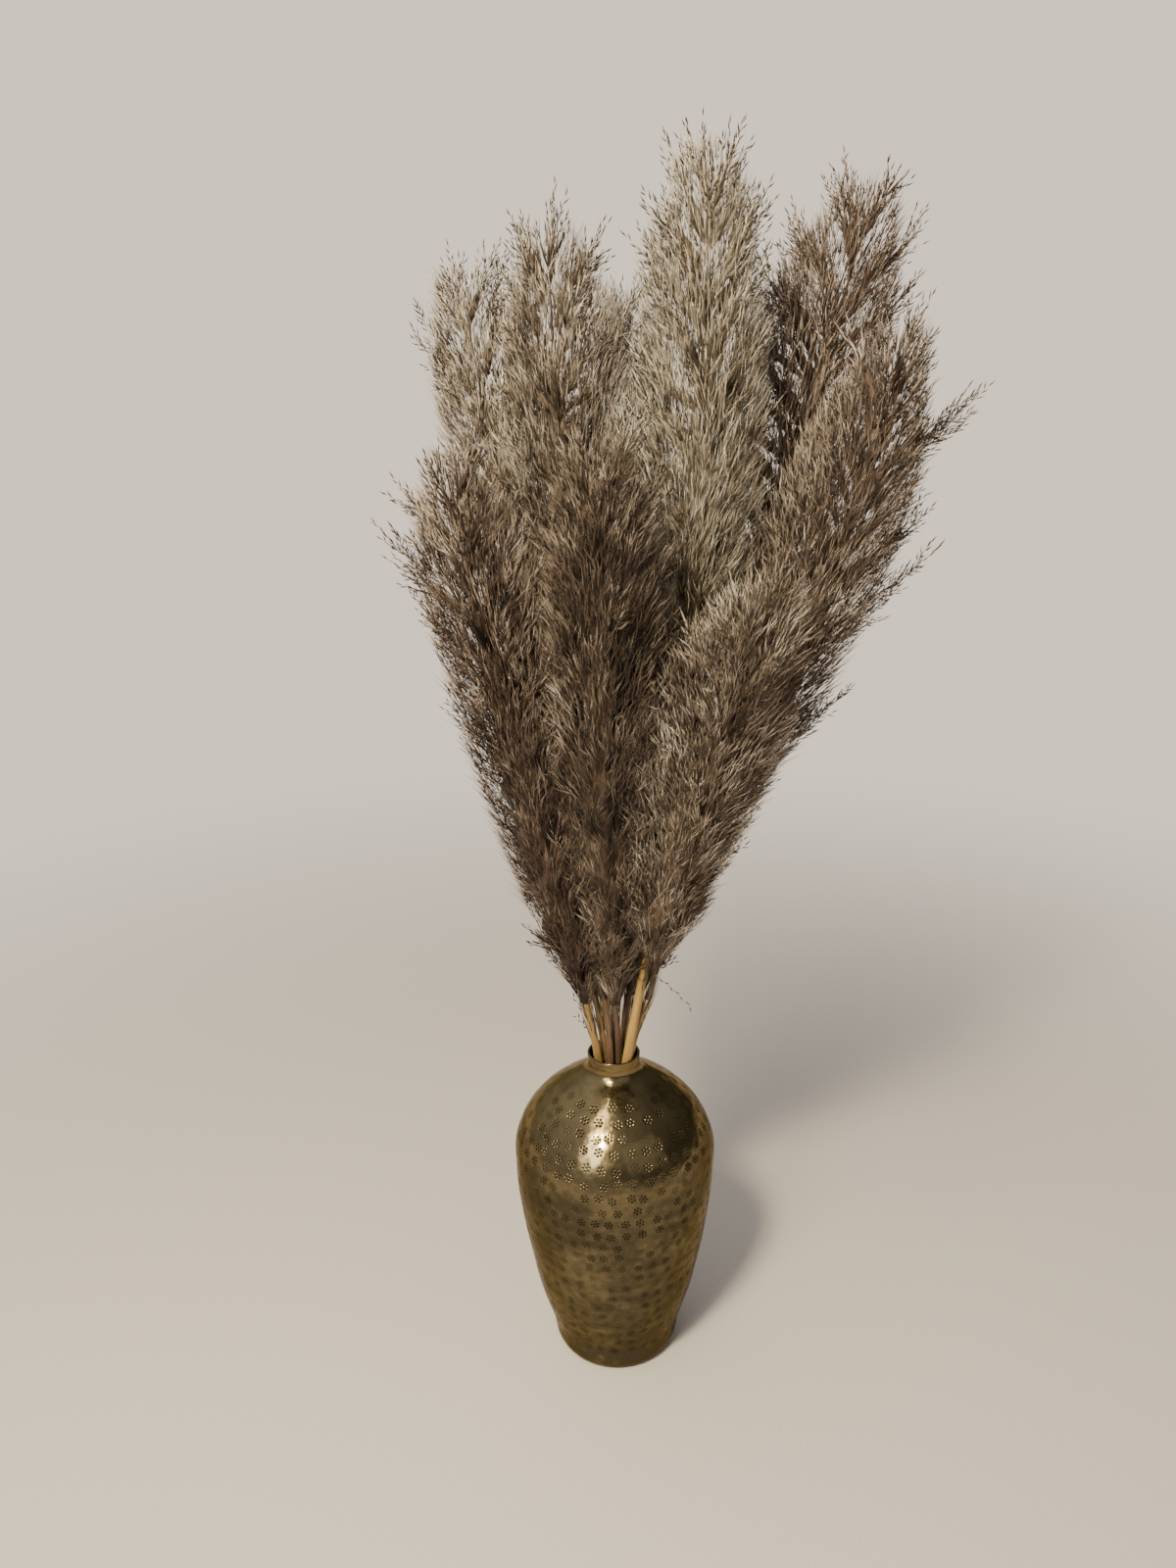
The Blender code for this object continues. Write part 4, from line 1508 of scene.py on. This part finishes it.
@dataclass(frozen=True)
class BrassFinish:
    """The finish of the vase: aged brass, darker in its punched flowers and in patches, with a painted
    highlight that makes the shoulder brighter and yellower.
    """

    bright: Colour = (0.174, 0.148, 0.086)
    aged: Colour = (0.066, 0.057, 0.038)
    ruddy: Colour = (0.075, 0.058, 0.041)
    dark: Colour = (0.012, 0.009, 0.006)
    # Painted highlight: multiplies the shoulder's colour, brighter and yellower where the highlight falls.
    shoulder_highlight_tint: Colour = (1.16, 1.04, 0.88)
    tint: Colour = (0.62, 0.56, 0.46)
    dot_ring: float = 0.34
    dot_size: float = 0.145

    def build(self) -> bpy.types.Material:
        """Makes the material.

        The punch map gives the place in the nearest flower, in units of 10 mm. Its angle is
        folded into one sixth, so that one dot and the middle one make all seven. The turned
        lines are noise stretched round the vase.

        Returns:
            The material.
        """
        finish = Finish("aged_brass")
        sixth = np.pi / 6
        parts = finish.parts(finish.chart("punches"))
        x, y = parts["X"], parts["Y"]
        depth = finish.attribute("punch_depth")
        place = finish.own_place()
        up = finish.parts(place)["Z"]
        out = finish.maths("SQRT", finish.times_plus(x, x, finish.times(y, y)))
        angle = finish.maths("WRAP", finish.maths("ARCTAN2", y, x), -sixth, sixth)
        near = finish.maths("SUBTRACT", finish.times(out, finish.maths("COSINE", angle)), self.dot_ring)
        side = finish.times(out, finish.maths("SINE", angle))
        ring = finish.maths("SQRT", finish.times_plus(near, near, finish.times(side, side)))
        dots = finish.between(finish.maths("MINIMUM", ring, out), 0.05, self.dot_size, 1.0, 0.0)
        dots = finish.times(dots, finish.between(depth, 0.0, 0.9))
        dish = finish.times(finish.between(out, 0.10, 0.50, 1.0, 0.0), depth)
        mottle = finish.stretched(place, (26.0, 26.0, 58.0), 4.0, 0.6)
        fine = finish.noise(place, 130.0, 5.0, 0.65)
        darkened = finish.times_plus(fine, 0.30, finish.times(finish.noise(place, 9.0, 4.0), 0.45))
        darkened = finish.times_plus(mottle, 0.45, darkened)
        darkened = finish.maths("ADD", darkened, finish.between(up, 0.20, 0.30, 0.07, -0.08))
        wear = finish.between(darkened, 0.46, 0.74)
        colour = finish.mix(wear, self.bright, self.aged)
        blush = finish.stretched(place, (14.0, 14.0, 24.0), 2.0)
        colour = finish.mix(finish.between(blush, 0.52, 0.75, 0.0, 0.55), colour, self.ruddy)
        # Painted highlight: the shoulder above about 0.25 m is painted brighter and yellower.
        colour = finish.mix(finish.between(up, 0.215, 0.275), colour, self.shoulder_highlight_tint, "MULTIPLY")
        stain = finish.times(dish, finish.between(up, 0.16, 0.24, 0.36, 0.30))
        colour = finish.mix(stain, colour, self.dark)
        filled = finish.times(dots, finish.between(up, 0.12, 0.22, 0.34, 0.92))
        tangent = finish.node("ShaderNodeTangent", direction_type="RADIAL", axis="Z")
        rough = finish.times_plus(wear, 0.10, finish.between(fine, 0.3, 0.7, 0.13, 0.20))
        turned = finish.stretched(place, (5.0, 5.0, 900.0))
        lines = finish.times(turned, finish.between(up, 0.272, 0.300, 0.05, 0.16))
        height = finish.times_plus(dots, -1.0, lines)
        height = finish.times_plus(fine, 0.06, height)
        height = finish.times_plus(finish.noise(place, 52.0, 2.0), 1.7, height)
        finish.surface(
            {
                "Base Color": finish.mix(filled, colour, self.dark),
                "Metallic": 1.0,
                "Specular Tint": self.tint,
                "Anisotropic": 0.5,
                "Anisotropic Rotation": 0.25,
                "Tangent": tangent.outputs["Tangent"],
                "Roughness": finish.times_plus(dish, 0.10, rough),
                "Normal": finish.bump(height, 0.8, 0.0006),
            }
        )
        return finish.material


@dataclass
class Vase:
    """The metal vase, a turned shell with a plain neck and rows of punched flowers."""

    columns: int = 340
    outer_rings: int = 222
    inner_rings: int = 22
    wall: float = 0.0025
    floor: float = 0.004
    row_step: float = 0.0141
    column_step: float = 0.0152
    first_row: float = 0.034
    last_row: float = 0.021
    punch_radius: float = 0.0052
    punch_depth: float = 0.00022
    punch_rim: float = 0.16
    beaten_depth: float = 0.00022
    seed: int = 11

    def outside(self) -> Floats:
        """Works out the outer profile at even steps of its length.

        Returns:
            Radius and height, from the foot to the lip.
        """
        heights = np.linspace(0.0, VASE_SIDE[-1, 0], 1500)
        radii = smooth_values(heights, VASE_SIDE)[:, 0]
        length = np.concatenate([[0], np.cumsum(np.hypot(np.diff(heights), np.diff(radii)))])
        even = np.linspace(0, length[-1], self.outer_rings)
        return np.column_stack([np.interp(even, length, radii), np.interp(even, length, heights)])

    def nearest_punch(
        self, length: Floats, turn: Floats, radius: Floats, total: float
    ) -> tuple[Floats, Floats]:
        """Finds each point's place in the nearest flower.

        Rows of flowers stand a step apart along the profile. A row has as many as its girth
        holds, every second row is turned by half a step, and each flower is a little off its
        place. The nearest is sought among three rows and three places in each.

        Args:
            length: the points' lengths along the profile.
            turn: their turns round the axis.
            radius: the vase's radius at each of them.
            total: the profile's whole length.

        Returns:
            Each point's place from its flower, in metres, and how deep that flower is.
        """
        draw = np.random.default_rng(self.seed)
        rows = int((total - self.first_row - self.last_row) / self.row_step)
        profile = self.outside()
        steps = travelled(profile)
        row_at = self.first_row + self.row_step * np.arange(rows)
        row_radius = np.interp(row_at, steps, profile[:, 0])
        number = np.maximum(1, np.round(2 * np.pi * row_radius / self.column_step)).astype(int)
        most = number.max()
        off_turn = draw.normal(0, 0.0015, (rows, most))
        off_length = draw.normal(0, 0.0012, (rows, most))
        spin = draw.uniform(0, np.pi / 3, (rows, most))
        deep = draw.uniform(0.0, 1.0, (rows, most)) ** 0.7 * 0.85 + 0.15
        deep[row_at > total - 0.085] *= 0.85
        best = np.full(len(length), np.inf)
        place = np.full((len(length), 2), 9.0)
        depth = np.zeros(len(length))
        nearest_row = np.round((length - self.first_row) / self.row_step).astype(int)
        for row_off in (-1, 0, 1):
            row = np.clip(nearest_row + row_off, 0, rows - 1)
            step = 2 * np.pi / number[row]
            shift = 0.5 * (row % 2) + 0.13 * row
            nearest = np.round(turn / step - shift).astype(int)
            for column_off in (-1, 0, 1):
                column = (nearest + column_off) % number[row]
                middle = (column + shift) * step + off_turn[row, column] / row_radius[row]
                gap = (turn - middle + np.pi) % (2 * np.pi) - np.pi
                x = gap * radius
                y = length - row_at[row] - off_length[row, column]
                away = np.hypot(x, y)
                closer = away < best
                best = np.where(closer, away, best)
                cosine, sine = np.cos(spin[row, column]), np.sin(spin[row, column])
                new = np.column_stack([x * cosine - y * sine, x * sine + y * cosine])
                place = np.where(closer[:, None], new, place)
                depth = np.where(closer, deep[row, column], depth)
        return place, depth

    def build(self) -> bpy.types.Object:
        """Builds the shell.

        A profile goes from the middle of the foot up the outside, over the round lip and down
        the inside. A point is (r cos turn, r sin turn, z). On the outside each flower's dish
        takes depth * (1 - (away / radius)^2)^2 from the radius, with a slight rise round it.

        Returns:
            The piece, which stands for the frame's vase.
        """
        outer = self.outside()
        steps = travelled(outer)
        total = steps[-1]
        under = np.array([[0.020, 0.0012], [0.048, 0.0012], [0.052, 0.0003], [0.0545, 0.0]])
        lip_turn = np.linspace(0, np.pi, 9)[1:-1]
        half = self.wall / 2
        across, up = half * np.cos(lip_turn), half * np.sin(lip_turn)
        lip = np.column_stack([outer[-1, 0] - half + across, outer[-1, 1] + up])
        slope = np.gradient(outer, axis=0)
        normal = unit(np.column_stack([slope[:, 1], -slope[:, 0]]))
        inside = outer - normal * self.wall
        keep = inside[:, 1] > self.floor + 0.002
        inside = inside[keep][::-1]
        inside = inside[np.linspace(0, len(inside) - 1, self.inner_rings).astype(int)]
        inner_floor = np.array([[inside[-1, 0] - 0.003, self.floor], [0.02, self.floor]])
        profile = np.concatenate([under, outer, lip, inside, inner_floor])
        first_outer, outer_end = len(under), len(under) + len(outer)
        rings, columns = len(profile), self.columns
        turn = np.arange(columns) * 2 * np.pi / columns
        radius = np.repeat(profile[:, :1], columns, axis=1)
        height = np.repeat(profile[:, 1:], columns, axis=1)
        span = slice(first_outer, outer_end)
        grid_length = np.repeat(steps[:, None], columns, axis=1).ravel()
        grid_turn = np.tile(turn, len(outer))
        place, depth = self.nearest_punch(grid_length, grid_turn, radius[span].ravel(), total)
        away = np.hypot(place[:, 0], place[:, 1]) / self.punch_radius
        dish = np.where(away < 1, (1 - np.minimum(away, 1) ** 2) ** 2, 0.0)
        rim = self.punch_rim * np.exp(-(((away - 1.12) / 0.22) ** 2))
        inset = (self.punch_depth * depth * (rim - dish)).reshape(len(outer), columns)
        flat = np.column_stack([np.cos(grid_turn), np.sin(grid_turn), 10 * grid_length])
        hammered = self.beaten_depth * clouds(flat * 0.1, 0.045, 5).reshape(len(outer), columns)
        ease = np.clip(np.minimum(steps - 0.012, total - 0.028 - steps) / 0.006, 0, 1)[:, None]
        shift = (inset + hammered) * ease
        radius[span] += shift * normal[:, :1]
        height[span] += shift * normal[:, 1:]
        points = np.stack([radius * np.cos(turn), radius * np.sin(turn), height], axis=-1).reshape(-1, 3)
        ends = np.array([[0, 0, 0.0012], [0, 0, self.floor]])
        mesh = bpy.data.meshes.new("vase_shell")
        mesh.from_pydata(np.concatenate([points, ends]), [], closed_tube(rings, columns))
        self.map_punches(mesh, steps, total, profile, first_outer, ease)
        return finished("vase_shell", mesh, BrassFinish().build(), "vase")

    def map_punches(
        self, mesh: bpy.types.Mesh, steps: Floats, total: float, profile: Floats, first: int, ease: Floats
    ) -> None:
        """Writes each face's place in its nearest flower, which the finish draws the dots by.

        All four corners of a face are measured from the flower that is nearest to its middle.

        Args:
            mesh: the shell.
            steps: the outer rings' lengths along the profile.
            total: the outer profile's whole length.
            profile: radius and height of all rings.
            first: the first outer ring.
            ease: how strong the flowers are on each outer ring.
        """
        columns = self.columns
        rows = len(steps) - 1
        step = 2 * np.pi / columns
        middle_length = np.repeat((steps[:-1] + steps[1:]) / 2, columns)
        middle_turn = np.tile((np.arange(columns) + 0.5) * step, rows)
        rings = profile[first : first + len(steps), 0]
        middle_radius = np.repeat((rings[:-1] + rings[1:]) / 2, columns)
        place, depth, spin = self.punch_frame(middle_length, middle_turn, middle_radius, total)
        half = step / 2 * middle_radius
        tall = np.repeat(np.diff(steps) / 2, columns)
        corner_x = np.stack([-half, half, half, -half], axis=1)
        corner_y = np.stack([-tall, -tall, tall, tall], axis=1)
        cosine, sine = np.cos(spin)[:, None], np.sin(spin)[:, None]
        turned_x = corner_x * cosine - corner_y * sine
        turned_y = corner_x * sine + corner_y * cosine
        corners = np.stack([place[:, :1] + turned_x, place[:, 1:] + turned_y], axis=-1) * 100
        uv = np.full((len(mesh.loops), 2), 9.0)
        begin = first * columns * 4
        uv[begin : begin + len(corners) * 4] = corners.reshape(-1, 2)
        write_chart(mesh, "punches", uv)
        values = np.zeros(len(mesh.polygons))
        strength = np.repeat((ease[:-1, 0] + ease[1:, 0]) / 2, columns)
        values[first * columns : first * columns + len(depth)] = depth * strength
        write_attribute(mesh, "punch_depth", "FACE", values)

    def punch_frame(
        self, length: Floats, turn: Floats, radius: Floats, total: float
    ) -> tuple[Floats, Floats, Floats]:
        """Finds each point's place in the nearest flower, its depth and how it is turned.

        The turn comes from a second look at a point a little to the side.

        Args:
            length: the points' lengths along the profile.
            turn: their turns round the axis.
            radius: the vase's radius at each of them.
            total: the profile's whole length.

        Returns:
            The places, the depths and the turns.
        """
        place, depth = self.nearest_punch(length, turn, radius, total)
        nudge = 1e-5
        beside, _ = self.nearest_punch(length, turn + nudge / radius, radius, total)
        spin = np.arctan2(beside[:, 1] - place[:, 1], beside[:, 0] - place[:, 0])
        return place, depth, spin


# The studio

@dataclass(frozen=True)
class Light:
    """A soft rectangle of light, aimed at a height on the vase's axis, with its power in watts."""

    name: str
    place: Point
    aim_height: float
    size: Pair
    power: float
    tint: Colour

    def build(self) -> None:
        """Adds the light to the scene."""
        light = bpy.data.lights.new(self.name, "AREA")
        light.shape = "RECTANGLE"
        light.size, light.size_y = self.size
        light.energy = self.power
        light.color = self.tint
        lamp = placed(self.name, light)
        lamp.location = self.place
        aim = Vector((0.0, 0.0, self.aim_height)) - Vector(self.place)
        lamp.rotation_euler = aim.to_track_quat("-Z", "Y").to_euler()


LIGHTS = (
    Light("key", (-0.50, -1.22, 1.85), 0.35, (0.24, 0.30), 60.0, (1.0, 0.88, 0.62)),
    Light("soft_left", (-1.38, -2.36, 2.2), 0.6, (0.9, 1.6), 52.0, (1.0, 0.955, 0.86)),
    Light("strip", (-0.75, -1.2, 2.9), 0.35, (0.22, 1.6), 16.0, (1.0, 0.90, 0.66)),
    Light("soft_right", (1.7, -2.1, 1.9), 0.6, (2.4, 2.0), 5.0, (1.0, 0.97, 0.92)),
)


@dataclass(frozen=True)
class Studio:
    """A plain pale floor, soft light and the camera."""

    wall: Colour = (1.14, 0.985, 0.82)
    floor_dark: Colour = (0.53, 0.47, 0.415)
    floor_pale: Colour = (0.63, 0.565, 0.50)
    floor_radii: tuple[float, ...] = (0.6, 2.0, 12.0)
    floor_sides: int = 64
    sky_low: Colour = (0.26, 0.25, 0.235)
    sky_high: Colour = (0.70, 0.69, 0.67)
    sky_strength: float = 1.25
    camera_place: Point = (0.0, -1.034, 0.957)
    lens: float = 27.05
    pitch: float = 18.06
    yaw: float = 1.18
    roll: float = -0.91

    def build(self) -> None:
        """Builds the floor, the surroundings, the lights and the camera."""
        self.add_floor()
        self.add_surroundings()
        for light in LIGHTS:
            light.build()
        self.add_camera()

    def add_floor(self) -> None:
        """Lays a large flat floor whose colour fades into the surroundings far out."""
        sides = self.floor_sides
        turn = np.arange(sides) * 2 * np.pi / sides
        points = np.array(self.floor_radii)[:, None, None] * level(turn)
        quads = tube_grid(len(self.floor_radii), sides)[:, ::-1]
        mesh = bpy.data.meshes.new("studio_floor")
        mesh.from_pydata(points.reshape(-1, 3), [], [*quads.tolist(), list(range(sides))])
        finish = Finish("pale_floor")
        place = finish.own_place()
        colour = finish.mix(finish.noise(place, 260.0, 4.0), self.floor_dark, self.floor_pale)
        finish.surface({"Base Color": colour, "Roughness": 0.9})
        out = finish.node("ShaderNodeVectorMath", {0: place}, operation="LENGTH").outputs["Value"]
        fade = finish.between(out, 0.45, 2.2)
        glow = finish.node("ShaderNodeEmission", {"Color": self.wall, "Strength": 1.0}).outputs[0]
        both = finish.node("ShaderNodeMixShader", {0: fade, 1: finish.shader.outputs[0], 2: glow})
        finish.put(finish.tree.nodes["Material Output"].inputs["Surface"], both.outputs[0])
        mesh.materials.append(finish.material)
        floor = placed("studio_floor", mesh)

    def add_surroundings(self) -> None:
        """Sets a plain wall colour behind the object, and a softer one that lights it."""
        world = bpy.data.worlds.new("studio")
        bpy.context.scene.world = world
        world.use_nodes = True
        world.node_tree.nodes.clear()
        nodes = Nodes(world.node_tree)
        parts = nodes.parts(nodes.node("ShaderNodeTexCoord").outputs["Generated"])
        sky = nodes.ramp(parts["Z"], ((0.0, self.sky_low), (1.0, self.sky_high)))
        side = nodes.between(parts["X"], -0.7, 0.7, 1.32, 0.32)
        tint = nodes.node("ShaderNodeVectorMath", {0: sky, "Scale": side}, operation="SCALE")
        inputs = {"Color": tint.outputs["Vector"], "Strength": self.sky_strength}
        lit = nodes.node("ShaderNodeBackground", inputs).outputs[0]
        seen = nodes.node("ShaderNodeBackground", {"Color": self.wall}).outputs[0]
        direct = nodes.node("ShaderNodeLightPath").outputs["Is Camera Ray"]
        mix = nodes.node("ShaderNodeMixShader", {0: direct, 1: lit, 2: seen})
        nodes.node("ShaderNodeOutputWorld", {"Surface": mix.outputs[0]})
    def add_camera(self) -> None:
        """Sets the camera, from its place and its pitch down, yaw to the left and roll."""
        pitch, yaw, roll = np.radians([self.pitch, self.yaw, self.roll])
        forward = np.array([-np.sin(yaw) * np.cos(pitch), np.cos(yaw) * np.cos(pitch), -np.sin(pitch)])
        level = np.array([np.cos(yaw), np.sin(yaw), 0.0])
        upright = np.cross(level, forward)
        right = level * np.cos(roll) + upright * np.sin(roll)
        up = upright * np.cos(roll) - level * np.sin(roll)
        camera = bpy.data.cameras.new("camera")
        camera.lens = self.lens
        camera.sensor_width = 36.0
        eye = placed("camera", camera)
        turned = Matrix(np.column_stack([right, up, -forward]).tolist()).to_4x4()
        eye.matrix_world = Matrix.Translation(self.camera_place) @ turned
        bpy.context.scene.camera = eye


def main() -> None:
    """Builds the part in order."""
    logging.basicConfig(level=logging.INFO, format="%(message)s")
    Studio().build()
    Vase().build()
    for number, stalk in enumerate(STALKS):
        Cane(stalk, 40 + number).build()
        Plume(stalk, 100 + 10 * number).build()
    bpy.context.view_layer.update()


if __name__ == "__main__":
    main()
